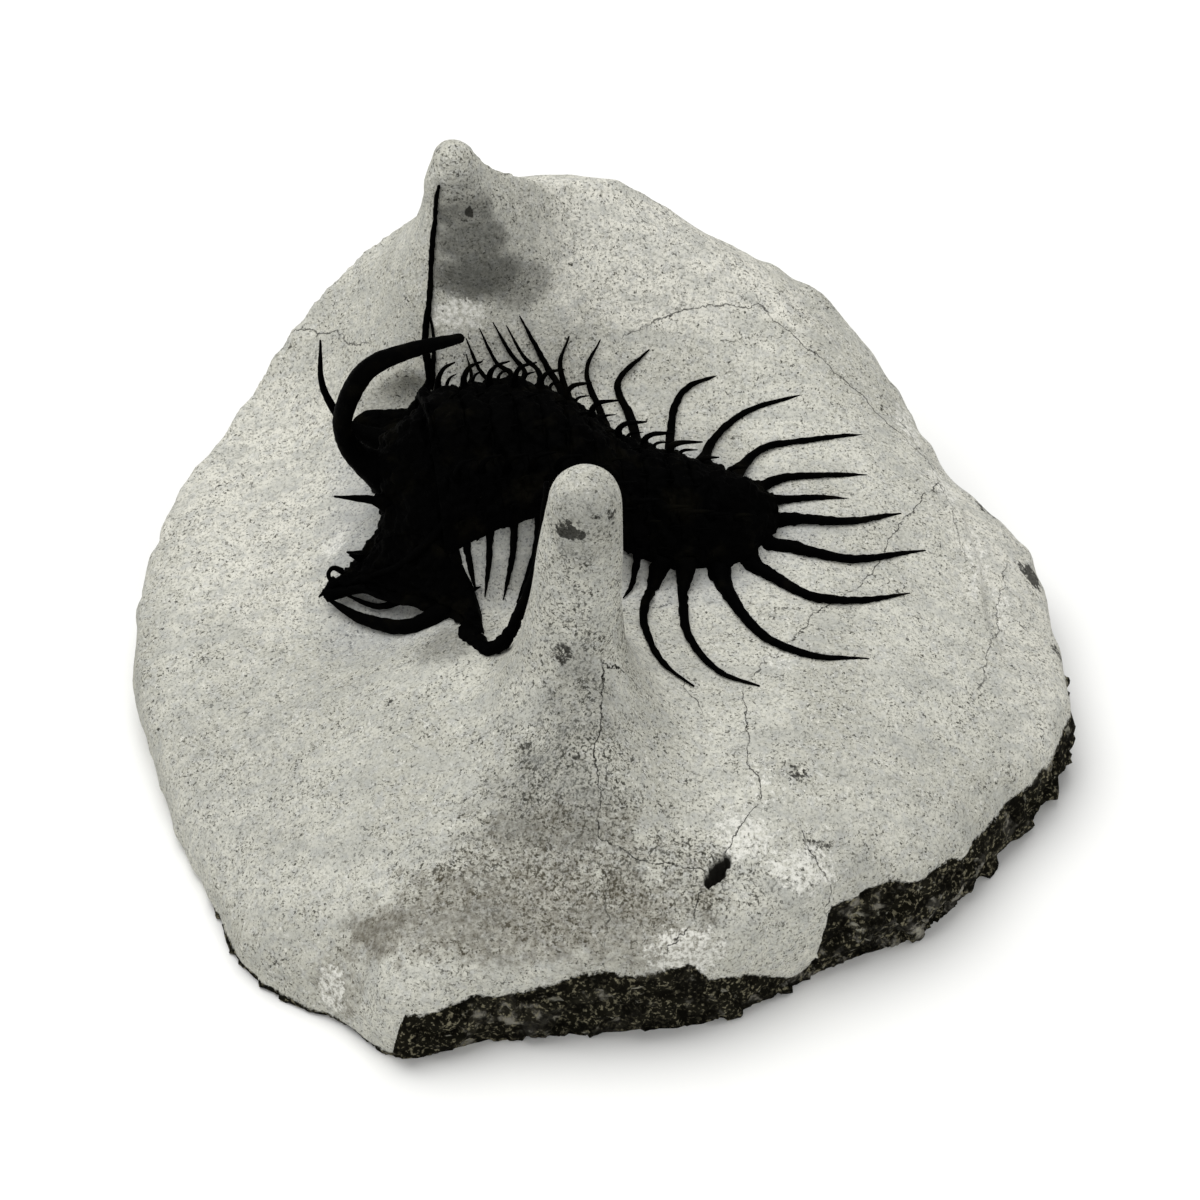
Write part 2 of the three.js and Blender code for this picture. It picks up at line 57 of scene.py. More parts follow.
bl_info = {
    "name": "Spiny trilobite on limestone",
    "version": (1, 0, 0),
    "blender": (4, 5, 0),
    "location": "View3D > Sidebar > Fossil",
    "description": "Builds a prepared spiny trilobite on its carved block of limestone",
    "category": "Add Mesh",
}

CAD_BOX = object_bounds()
MM = 0.001                     # the shapes below are worked out in millimetres, the scene is in metres
NEAR, FAR = -1, 1              # the animal's two sides: -Y is the near one

# ------------------------------------------------------------------ driving dimensions, mm

# Rim of the block: bearing in degrees, radius, height of the rim.
RIM = np.array([
    [-166, 50.5, 4.5], [-146, 51.5, 2], [-133, 54.5, 1.5], [-121, 53.5, 2], [-113, 55, 6],
    [-104, 50, 8.5], [-90, 47.5, 10.5], [-78, 47.5, 11], [-54, 46, 11.5], [-44, 48.5, 10], [-28, 49, 8],
    [-12, 52.5, 8], [5, 51.5, 8], [18, 51.5, 9], [33, 48.5, 11.5], [43, 49.5, 15], [54, 50.5, 21],
    [66, 51, 24], [90, 51, 29.5], [113, 52.5, 29], [130, 53.5, 23.5], [142, 53.5, 16],
    [155, 54, 11.5], [167, 53.5, 8], [180, 52, 6.5],
])
FOOT_INSET = (0.6, 2.5)        # how far the side draws in at its foot, at the front and at the back
PLATEAU = 22.0                 # height of the prepared floor round the tail
HEAD_FALL, TAIL_FALL = 7, 5    # how far that floor falls away in front of the head and beyond the tail
BACK_RIDGE = 17.0              # how far the back ridge stands above the floor
FRONT_RIDGE = 8.0              # the same for the ridge that runs from the near pillar to the front
CHEEK_DIP = 3.0                # how far the floor dips in front of the near cheek

# Body of the animal: x, y of the midline, z of the side edge, half width, arch height.
THORAX_START, SEGMENTS, SEGMENT_PITCH, TAIL_END = -17.9, 10, 2.78, 19.5
BODY = np.array([
    [-18, 9.5, 26.5, 11.5, 9.5], [-14.5, 9.5, 28.5, 11, 8], [-11, 10, 30, 11, 6],
    [-6.5, 10, 30.5, 10.5, 5.5], [-3, 9.5, 29, 10, 6], [0, 9, 27, 10, 6], [3, 8.5, 25, 9.5, 5.5],
    [6, 8, 23.5, 9, 6.5], [11, 7.5, 23, 8, 6], [15.5, 7, 23, 6, 5], [TAIL_END, 7.5, 23, 1.5, 2.5],
])
AXIS_WIDTH = 0.24              # half width of the middle lobe, as a share of the half width's arc
ROLL = 0.06                    # how far the back leans over to the far side, mm down for each mm across
# How far the segments turn, by x: mm towards the head for each mm across to the far side.
YAW = np.array([[-18, 0.17], [0, 0.15], [TAIL_END, 0.05]])

# Pillars of matrix that carry the two cheek spines: height, x, y, radius, from the foot up.
NEAR_PILLAR = np.array([
    [16, -3.5, -20.5, 10.5], [20, -3.5, -19.5, 8.5], [24, -3.5, -18, 7], [28, -3, -17.5, 6],
    [34, -2.5, -16.5, 5], [41, -2, -15.5, 4.5], [47.5, -1.5, -15, 4],
])
FAR_PILLAR = np.array([
    [26, -10, 39, 11], [31, -11.5, 39.5, 10], [36, -13, 39, 7.5], [40, -14.5, 38, 5.5],
    [44, -15.5, 37.5, 4], [47.5, -16.5, 36.5, 3], [50.5, -16.5, 36.5, 2],
])

# The bed of rock under the body, from front to back, the balls of rock under the head, which join from
# its heart to each cheek, and the preparer's hollow behind the far cheek: x, y, z and radius of each.
BED_START, BED_END = -15.5, 17.5
HEAD_BED = [(-19, 11, 22.5, 3.2), (-19.5, 2, 18.5, 2.6), (-22.5, 25, 18, 2.4)]
CHEEK_HOLLOW = [(-21.5, 25, 24.4, 2.7), (-28, 25.5, 22.4, 2.5)]

# Crest of the ridge that runs down from the far pillar, and how steeply its sides fall.
FAR_CREST = [(-14.5, 37, 48), (-10, 39, 46), (-6.5, 41, 43), (-3, 43, 41), (2, 45, 38.5), (8, 46, 32)]
CREST_FALL = 1.7

# Routes of the long spines of the head.
HORN = [(-23.5, 10, 27.5), (-27, 10, 31), (-28, 9.5, 36), (-25, 9.5, 43.5), (-21, 9.5, 46), (-15, 9.5, 48)]
EYE_SPINES = {
    NEAR: [(-23, 6.5, 26.5), (-25, 6, 27.5), (-29, 6, 28)],
    FAR: [(-23.5, 16, 26.5), (-28, 17, 28.5), (-30.5, 17.5, 33.5), (-30.5, 17, 41)],
}
CHEEK_SPINES = {
    NEAR: [
        (-14.5, -7.5, 20.5), (-12, -11.5, 22), (-10.5, -12, 23.5), (-8.5, -12, 28.5),
        (-6.5, -12.5, 37.5), (-5.5, -13.5, 48.5),
    ],
    FAR: [
        (-21.5, 24.5, 22.5), (-19, 26, 27.5), (-19.5, 28, 30.5), (-19, 30.5, 35),
        (-18.5, 33.5, 42), (-17.5, 34.5, 48.5),
    ],
}
# A thinner strand beside the foot of the far cheek spine.
CHEEK_STRAND = [(-19, 25, 26.5), (-18.5, 28, 31), (-19, 29.5, 33.5)]
# The pleural spines beyond the edge of the shell, front to back, each out to its tip.
PLEURAL_SPINES = {
    NEAR: [
        [(-14, -2.5, 25.5), (-13.5, -3.5, 23)],
        [(-12, -2, 26.5), (-12.5, -4, 22.5)],
        [(-9.5, -2, 27), (-10.5, -4, 22)],
        [(-7, -1.5, 27.5), (-9, -4.5, 22)],
        [(-4.5, -2.5, 25.5), (-5.5, -5, 22.5)],
        [(-2, -3, 24.5), (-2, -5.5, 22.5)],
        [(1, -3, 23.5), (1, -6, 22.5)],
        [(3.5, -2.5, 23), (2.5, -4.5, 22.5)],
        [(5.5, -3, 22), (4.5, -8.5, 22.5), (6, -14, 22.5), (10, -17, 22)],
        [(9, -4, 22), (9.5, -10, 22), (13, -15, 22), (17, -16.5, 21.5)],
    ],
    FAR: [
        [(-14.5, 24.5, 28.5), (-15, 26.5, 30.5)],
        [(-12.5, 24.5, 28), (-13.5, 25.5, 29), (-15, 27.5, 32)],
        [(-10, 25.5, 28.5), (-11.5, 26, 29.5), (-13.5, 28, 33)],
        [(-8.5, 26, 28.5), (-10, 27, 30), (-12, 28.5, 33.5)],
        [(-7, 26, 28.5), (-8.5, 26.5, 30), (-10.5, 28.5, 33)],
        [(-4.5, 25, 26.5), (-6.5, 27.5, 29), (-9, 29.5, 33.5)],
        [(-3.5, 25, 25.5), (-4.5, 27.5, 28), (-3.5, 30, 30)],
        [(0, 24, 24), (-1.5, 27.5, 27), (0, 30.5, 29)],
        [(3.5, 23, 23.5), (2, 27, 25.5), (5.5, 30.5, 27.5)],
        [(8, 22, 23), (8.5, 25, 24), (10, 27, 25), (13.5, 28.5, 25.5)],
    ],
}
# The tail spines, front to back, each from its root on the shell.
TAIL_SPINES = {
    NEAR: [
        [(12.5, 2, 23.5), (14, -3.5, 22), (17.5, -9.5, 21.5), (23, -12, 21), (29, -11, 20)],
        [(14.5, 3.5, 23.5), (18, 0, 22), (23, -3.5, 21.5), (28, -3, 20.5), (34, 0.5, 18.5)],
        [(15.5, 5.5, 23.5), (20, 4, 22), (27, 3, 21), (36, 7.5, 18)],
        [(16.5, 8, 23.5), (21, 8, 22), (27, 8.5, 21), (33.5, 12, 19.5)],
    ],
    FAR: [
        [(11, 14.5, 23.5), (12.5, 20, 22.5), (16, 24, 23.5), (23.5, 27.5, 23.5)],
        [(14, 12.5, 23.5), (18, 19, 22.5), (24, 21, 22), (30.5, 23.5, 21)],
        [(16, 11.5, 23.5), (20, 14.5, 22), (25, 15.5, 22), (30.5, 17, 20.5)],
        [(17, 10.5, 23.5), (22, 11.5, 22), (27.5, 12.5, 21.5)],
    ],
}

# Head shield as a net of points: one row per HEAD_V, from the back of the head to its front edge,
# and across each row one point per HEAD_S, from the near cheek's edge to the far one's.
HEAD_V = [0, 0.33, 0.62, 0.84, 1]
HEAD_S = np.linspace(-1, 1, 9)
HEAD_NET = np.array([
    [(-12, -11, 22), (-13, -6.5, 22), (-15, -2.5, 26), (-16.5, 3.5, 34), (-18, 9.5, 36),
     (-18.5, 15.5, 34.5), (-19.5, 19.5, 30), (-20, 22.5, 25), (-21.5, 25.5, 22)],
    [(-17, -4, 20), (-18.5, -2.5, 22.5), (-19.5, 1, 27), (-20.5, 5.5, 32), (-21, 10, 34),
     (-21, 14.5, 31), (-21.5, 18, 26), (-23, 21.5, 23), (-24, 26, 21.5)],
    [(-24, -0.5, 18.5), (-23.5, 1.5, 20.5), (-23.5, 3.5, 24), (-23.5, 6.5, 28), (-23.5, 10.5, 31),
     (-23.5, 14, 28.5), (-24, 17, 24.5), (-25, 21, 22), (-26.5, 26.5, 21)],
    [(-27, 1, 18.5), (-26, 3, 19.5), (-25, 5.5, 21), (-24, 8, 24.5), (-24, 11, 26.5),
     (-24.5, 13.5, 25), (-25.5, 17, 22.5), (-26.5, 21, 21), (-27.5, 26, 20.5)],
    [(-30.5, 1.5, 17), (-29, 4, 17.5), (-27, 6.5, 17.5), (-24.5, 9, 18), (-24, 11.5, 18),
     (-24.5, 13.5, 18.5), (-25, 17, 19), (-26.5, 21.5, 19.5), (-28, 25, 20)],
])
SUTURE = 0.5                   # where the free cheeks part from the middle of the head shield
# Ridges on the head shield, as places (s, v) on its net.
HEAD_RIDGES = [
    [(-0.36, 0), (-0.5, 0.25), (-0.66, 0.5), (-0.8, 0.75)],
    [(0.5, 0.95), (0.3, 0.72), (0.22, 0.5), (0.3, 0.25), (0.36, 0)],
    [(0.3, 0.72), (0.42, 0.5), (0.52, 0.2)],
]
# Bands of the near cheek, with windows of light rock between them, and the small spines of the head's
# edge: each a route and its radii.
CHEEK_BANDS = [
    ([(-30.5, 2, 16.5), (-26, -1, 16), (-20.5, -4, 18), (-16.5, -3.5, 20.5)], [0.12, 0.6, 0.8, 0.9, 1.2]),
    ([(-28.5, 2.5, 16.5), (-24, 0, 17), (-20, 1, 18.5)], [0.1, 0.3, 0.4, 0.9]),
]
EDGE_SPINES = [
    ([(-26.5, 6.5, 18.5), (-28, 6.5, 19)], [0.6, 0.12]),
    ([(-28.5, 4.5, 18), (-29.5, 4.5, 18.5), (-30, 3.5, 18.5), (-29.5, 2.5, 18)], [0.4, 0.28, 0.25, 0.24]),
    ([(-29, 3, 18), (-31, 1.5, 17)], [0.8, 0.1]),
    ([(-26.5, 5, 19.5), (-27.5, 4.5, 20.5)], [0.5, 0.2]),
    ([(-14, -4, 23.5), (-13, -3.5, 23.5)], [0.3, 0.08]),
]
# Height of the top of the dark crust on the block's sides: bearing in degrees, height.
CRUST_TOP = np.array([
    [-180, -4], [-149, -4], [-146, 1], [-140, 1.5], [-134, 1], [-113.5, 0.5], [-112, 7], [-95, 10],
    [-79, 11], [-76, 8], [-70, 6], [-62, 2], [-60, 2.5], [-58, 11], [-50, 11],
    [-35, 9], [-13, 8], [0, 6.5], [16, 7.5], [41, 11], [66, 19], [90, 23], [113, 23],
    [130, 17], [142, 11], [158, 5], [168, -1], [180, -4],
])


# ------------------------------------------------------------------ numbers

def smooth(value):
    """A soft step: 0 below 0, 1 above 1, and rounded off at both."""
    value = np.clip(value, 0, 1)
    return value * value * (3 - 2 * value)


def bell(value, centre, width):
    """A soft bump of height 1 at `centre`, down to a third at `width` to either side of it."""
    return np.exp(-((value - centre) / width) ** 2)


def cubic(t, span, before, after, slope_before, slope_after):
    """The value at share t of a span, on the cubic that has these values and slopes at its ends."""
    return ((2 * t**3 - 3 * t**2 + 1) * before + (t**3 - 2 * t**2 + t) * slope_before * span
            + (3 * t**2 - 2 * t**3) * after + (t**3 - t**2) * slope_after * span)


def hermite(table, at):
    """A smooth curve through a table's rows, at the places `at` of its first column."""
    at = np.clip(np.asarray(at, float), table[0, 0], table[-1, 0])
    places, values = table[:, 0], table[:, 1:]
    k = np.clip(np.searchsorted(places, at, side="right") - 1, 0, len(table) - 2)
    slopes = np.gradient(values, places, axis=0)
    span = (places[k + 1] - places[k])[..., None]
    t = (at - places[k])[..., None] / span
    result = cubic(t, span, values[k], values[k + 1], slopes[k], slopes[k + 1])
    return [result[..., column] for column in range(values.shape[1])]


def rim_at(bearing):
    """Radius and height of the block's rim at a bearing in radians."""
    turns = [RIM + np.array([turn, 0, 0]) for turn in (-360, 0, 360)]
    return hermite(np.concatenate(turns), np.degrees(bearing))


def foot_inset(bearing):
    """How far the block's side draws in at its foot: more at the back than at the front."""
    front, back = FOOT_INSET
    return front + (back - front) * smooth(0.5 + 1.3 * np.sin(bearing))


def mound(x, y, cx, cy, rx, ry, turn=0.0):
    """A rounded mound of height 1 at (cx, cy), falling off over rx and ry."""
    along = math.cos(turn) * (x - cx) + math.sin(turn) * (y - cy)
    across = math.cos(turn) * (y - cy) - math.sin(turn) * (x - cx)
    return np.exp(-((along / rx) ** 2) - (across / ry) ** 2)


def rock_height(x, y):
    """Height of the prepared rock surface, without its pillars and the bed under the animal."""
    bearing = np.arctan2(y, x)
    radius, rim = rim_at(bearing)
    out = np.clip(np.hypot(x, y) / radius, 0, 1)
    back, left = smooth(1.6 * np.sin(bearing)), smooth(-np.cos(bearing))
    roundness = 2 + 1.5 * smooth(np.cos(bearing)) + back * (6 - 5 * left) + left
    crown = PLATEAU - HEAD_FALL * smooth((-x - 12) / 30) - TAIL_FALL * smooth((x - 22) / 26)
    back_ridge = BACK_RIDGE * mound(x, y, -6, 44, 26, 13, -0.14) * smooth((1.12 - out) / 0.25)
    front_ridge = FRONT_RIDGE * mound(x, y, -1, -25, 6.5, 14) * smooth((1 - out) / 0.3)
    dip_by_cheek = CHEEK_DIP * mound(x, y, -24, -3, 9, 7)
    return rim + (crown - rim) * np.sqrt(1 - out**roundness) + back_ridge + front_ridge - dip_by_cheek


def draw(cell, seed):
    """A fixed random number from 0 to 1 for each cell of a lattice."""
    mixed = (cell[:, 0] * 73856093) ^ (cell[:, 1] * 19349663) ^ (cell[:, 2] * 83492791) ^ (seed * 2654435)
    mixed = (mixed ^ (mixed >> 13)) * 1274126177 & 0x7FFFFFFF
    return ((mixed ^ (mixed >> 15)) & 0xFFFF) / 65535


def lattice_noise(points, size, seed):
    """Smooth noise from -1 to 1 whose lumps are about `size` mm across."""
    places = np.asarray(points, float) / size
    cell = np.floor(places).astype(np.int64)
    share = smooth(places - cell)
    total = np.zeros(len(places))
    for corner in np.ndindex(2, 2, 2):
        weight = np.prod(np.where(np.array(corner) == 1, share, 1 - share), axis=1)
        total += weight * (2 * draw(cell + corner, seed) - 1)
    return total


def facets(points, size, seed):
    """Broken rock in fragments about `size` mm across, each a flat face that is tilted its own way.

    Gives each point's height, about -1 to 1, and a number from 0 to 1 that is the fragment's own."""
    places = points / size
    cell = np.floor(places).astype(np.int64)
    nearest, height, own = np.full(len(places), 9.0), np.zeros(len(places)), np.zeros(len(places))
    for corner in np.ndindex(3, 3, 3):
        key = cell + corner - 1
        offset = places - key - np.stack([draw(key, seed + k) for k in range(3)], -1)
        gap = (offset**2).sum(1)
        tilt = np.stack([2 * draw(key, seed + k) - 1 for k in range(3, 6)], -1)
        level = draw(key, seed + 6) - 0.5
        closer = gap < nearest
        nearest = np.where(closer, gap, nearest)
        height = np.where(closer, level + 1.1 * (offset * tilt).sum(1), height)
        own = np.where(closer, draw(key, seed + 7), own)
    return height, own


def blend_min(a, b, reach):
    """The lower of two fields, joined by a fillet of about `reach` mm."""
    h = np.clip(0.5 + 0.5 * (b - a) / reach, 0, 1)
    return b + (a - b) * h - reach * h * (1 - h)


def blend_max(a, b, reach):
    """The higher of two fields, joined by a fillet of about `reach` mm."""
    return -blend_min(-a, -b, reach)


def off_segment(places, a, b):
    """How places lie by the segment from a to b: share along it, distance off it, and on which side."""
    length = np.linalg.norm(b - a)
    along = (b - a) / length
    offset = places - a
    reach = np.clip(offset @ along, 0, length)
    gap = np.linalg.norm(offset - reach[:, None] * along, axis=1)
    return reach / length, gap, np.sign(offset[:, 0] * along[1] - offset[:, 1] * along[0])


def curve_points(route, count):
    """`count` evenly spaced points on a smooth curve through `route`, from 20 times as many."""
    route = np.asarray(route, float)
    knots = np.concatenate([[0], np.cumsum(np.sqrt(np.linalg.norm(np.diff(route, axis=0), axis=1)))])
    dense = np.stack(hermite(np.column_stack([knots, route]), np.linspace(0, knots[-1], 20 * count)), -1)
    length = np.concatenate([[0], np.cumsum(np.linalg.norm(np.diff(dense, axis=0), axis=1))])
    even = np.linspace(0, length[-1], count)
    return np.stack([np.interp(even, length, dense[:, k]) for k in range(3)], -1)


def unit(vectors):
    """The same directions, at length 1."""
    return vectors / np.maximum(np.linalg.norm(vectors, axis=-1, keepdims=True), 1e-9)


# ------------------------------------------------------------------ meshes

def mesh_piece(name, parts, material, node):
    """One object from a list of (points in mm, faces), riding on the block and standing for a node."""
    points = np.concatenate([part[0] for part in parts])
    offsets = np.cumsum([0] + [len(part[0]) for part in parts])
    faces = [[corner + offset for corner in face]
             for part, offset in zip(parts, offsets) for face in part[1]]
    mesh = bpy.data.meshes.new(name)
    mesh.from_pydata((points * MM).tolist(), [], faces)
    mesh.validate()
    mesh.shade_smooth()
    mesh.materials.append(material)
    piece = bpy.data.objects.new(name, mesh)
    bpy.context.collection.objects.link(piece)
    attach(piece, "root")
    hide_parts(node)
    return piece


def outward(points, faces):
    """The same faces, turned so that they enclose a positive volume."""
    volume = sum(np.dot(points[f[0]], np.cross(points[f[i]], points[f[i + 1]]))
                 for f in faces for i in range(1, len(f) - 1))
    return faces if volume > 0 else [face[::-1] for face in faces]


PUSHES = 6                     # rounds in which a spine is pushed out of the rock
SPINE_GAP = 0.03               # how far the side and tail spines then stand off it, mm


def tube(route, radii, sides, steps, lumps, seed, clear=None):
    """A tapered, lumpy tube with a rounded tip through `route`; `radii` stand at equal steps along it.

    With `clear`, all but its root is pushed out of the rock until it stands that far off it."""
    centres = curve_points(route, steps + 1)
    along_tube = np.linspace(0, 1, steps + 1)
    radius = np.interp(along_tube, np.linspace(0, 1, len(radii)), radii)
    if clear is not None:
        share = smooth((along_tube - 0.15) / 0.3)
        for _ in range(PUSHES):
            gap = rock_field(*centres.T)
            push = np.clip(clear + radius - gap, 0, 1.5) * share
            push = np.convolve(np.pad(push, 2, mode="edge"), [0.1, 0.2, 0.4, 0.2, 0.1], "valid")
            centres = centres + field_normals(centres) * push[:, None]
    along = unit(np.gradient(centres, axis=0))
    normal = unit(np.cross(along[0], [0.3, 0.2, 0.9]))
    angles = np.linspace(0, 2 * math.pi, sides, endpoint=False)
    rings = []
    for centre, direction, size in zip(centres, along, radius):
        normal = unit(normal - np.dot(normal, direction) * direction)
        across = np.cross(direction, normal)
        ring = centre + size * (np.outer(np.cos(angles), normal) + np.outer(np.sin(angles), across))
        rings.append((ring, centre))
    for lift in (0.5, 0.85):       # two shrinking rings round the tip off
        centre = centres[-1] + along[-1] * radius[-1] * lift
        rings.append((centre + (rings[steps][0] - centres[-1]) * math.sqrt(1 - lift**2), centre))
    points = np.concatenate([ring for ring, _ in rings])
    middle = np.repeat([centre for _, centre in rings], sides, axis=0)
    points = points + (points - middle) * (lumps * lattice_noise(points, 0.5, seed))[:, None]
    tip = centres[-1] + along[-1] * radius[-1]
    points = np.concatenate([points, [centres[0], tip]])
    faces = []
    last = len(rings) - 1
    for k in range(sides):
        n = (k + 1) % sides
        faces.append([len(points) - 2, n, k])
        faces.append([len(points) - 1, last * sides + k, last * sides + n])
        for i in range(last):
            a, b = i * sides, (i + 1) * sides
            faces.append([a + k, a + n, b + n, b + k])
    return points, outward(points, faces)


def closed_sheet(outer, inner):
    """A closed plate between two grids of points of the same size."""
    rows, columns = outer.shape[:2]
    points = np.concatenate([outer.reshape(-1, 3), inner.reshape(-1, 3)])
    far = rows * columns
    at = np.arange(far).reshape(rows, columns)
    quads = np.stack([at[:-1, :-1], at[:-1, 1:], at[1:, 1:], at[1:, :-1]], -1).reshape(-1, 4)
    faces = quads.tolist() + (quads[:, ::-1] + far).tolist()
    rim = np.concatenate([at[0, :-1], at[:-1, -1], at[-1, :0:-1], at[:0:-1, 0]])
    following = np.roll(rim, -1)
    faces += np.stack([following, rim, rim + far, following + far], -1).tolist()
    return points, outward(points, faces)


def grid_normals(grid, heart):
    """Unit normals of a grid of points, from its own slopes, that point away from `heart`."""
    normals = unit(np.cross(np.gradient(grid, axis=0), np.gradient(grid, axis=1)))
    middle = tuple(np.array(grid.shape[:2]) // 2)
    return normals if np.dot(normals[middle], grid[middle] - heart) >= 0 else -normals


def granules(grid, spacing, height, seed):
    """How far each point of a grid is raised by shell granules scattered about `spacing` mm apart."""
    rng = np.random.default_rng(seed)
    flat = grid.reshape(-1, 3)
    lengths = [np.linalg.norm(np.gradient(grid, axis=axis), axis=-1) for axis in (0, 1)]
    sides = lengths[0] * lengths[1]
    count = int(sides.sum() / spacing**2)
    chosen = rng.choice(len(flat), size=count, p=(sides / sides.sum()).ravel())
    radii = spacing * rng.uniform(0.28, 0.62, count)
    heights = height * rng.uniform(0.4, 1.0, count) * radii / (0.45 * spacing)
    raised = np.zeros(len(flat))
    order = np.argsort(flat[:, 0])
    ranked = flat[order, 0]
    for centre, radius, tall in zip(flat[chosen], radii, heights):
        low, high = np.searchsorted(ranked, [centre[0] - radius, centre[0] + radius])
        near = order[low:high]
        share = 1 - ((flat[near] - centre) ** 2).sum(1) / radius**2
        inside = share > 0
        near = near[inside]
        raised[near] = np.maximum(raised[near], tall * share[inside])
    return raised.reshape(grid.shape[:2])


# ------------------------------------------------------------------ materials

def linear(colour):
    """A colour from an sRGB hex string, as the linear numbers that shaders take, with an alpha of 1."""
    parts = [int(colour[k:k + 2], 16) / 255 for k in (1, 3, 5)]
    return tuple(p / 12.92 if p <= 0.04045 else ((p + 0.055) / 1.055) ** 2.4 for p in parts) + (1.0,)


def add_node(tree, kind, inputs=(), **settings):
    """Adds a node with its settings. Its inputs come by name in a dict, or in order in a tuple.

    Each input takes a value, or the node or socket it is linked from."""
    node = tree.nodes.new(kind)
    for name, value in settings.items():
        setattr(node, name, value)
    for key, value in inputs.items() if isinstance(inputs, dict) else enumerate(inputs):
        socket = node.inputs[key] if isinstance(key, int) else next(
            each for each in node.inputs if each.enabled and each.name == key)
        if isinstance(value, bpy.types.Node):
            value = next(each for each in value.outputs if each.enabled)
        if isinstance(value, bpy.types.NodeSocket):
            tree.links.new(value, socket)
        else:
            socket.default_value = value
    return node


def new_material(name):
    """An empty material, and the function that adds a node to it."""
    material = bpy.data.materials.new(name)
    material.use_nodes = True
    material.node_tree.nodes.clear()
    return material, functools.partial(add_node, material.node_tree)


def finish_material(add, **inputs):
    """Gives the material its surface, from the shader's inputs by name."""
    inputs = {name.replace("_", " "): value for name, value in inputs.items()}
    shader = add("ShaderNodeBsdfPrincipled", inputs)
    add("ShaderNodeOutputMaterial", {"Surface": shader})


def lay(add, under, ink, pattern, low, high, share):
    """Lays an ink over a colour, where a pattern climbs from low to high; at most `share` of it."""
    amount = add("ShaderNodeMapRange", {
        "Value": pattern, "From Min": low, "From Max": high, "To Max": share,
    }, interpolation_type="SMOOTHSTEP")
    return add("ShaderNodeMix", {"Factor": amount, "A": under, "B": linear(ink)}, data_type="RGBA")


def grains(add, where, under, ink, size_mm, low, high, share=1.0, detail=2.0, crowd=None):
    """Lays grains about `size_mm` across over a colour, thickest where `crowd` is high."""
    noise = add("ShaderNodeTexNoise", {
        "Vector": where, "Scale": 1 / (size_mm * MM), "Detail": detail, "Roughness": 0.6})
    if crowd is not None:
        noise = add("ShaderNodeMath", (crowd, 0.22, noise), operation="MULTIPLY_ADD")
    return lay(add, under, ink, noise, low, high, share)


def lay_patch(add, under, ink, mark, grain, spread, low, high, share):
    """Lays a patch over a colour, where a mark, with its edge broken up by a grain, is strong. Stains come
    this way, and so do painted shade, painted shadows, painted light and painted glints.
    """
    edge = add("ShaderNodeMath", (grain, 0.5), operation="SUBTRACT")
    edge = add("ShaderNodeMath", (edge, spread, mark), operation="MULTIPLY_ADD")
    return lay(add, under, ink, edge, low, high, share)


# Noises of the stone: name, how wide its lumps are in mm, detail and roughness.
STONE_NOISES = (
    ("blotch", 14, 5, 0.62), ("gather", 3.5, 2, 0.5), ("lump", 2.5, 4, 0.65), ("chips", 1.3, 5, 0.7),
    ("peck", 1.1, 4, 0.6), ("speck", 0.7, 4, 0.7), ("grit", 0.5, 3, 0.7), ("fine", 0.3, 2, 0.5),
)
STREAK_TURN, STREAK_STRETCH = math.radians(-42), 0.28       # how the abrader's streaks lie on the stone


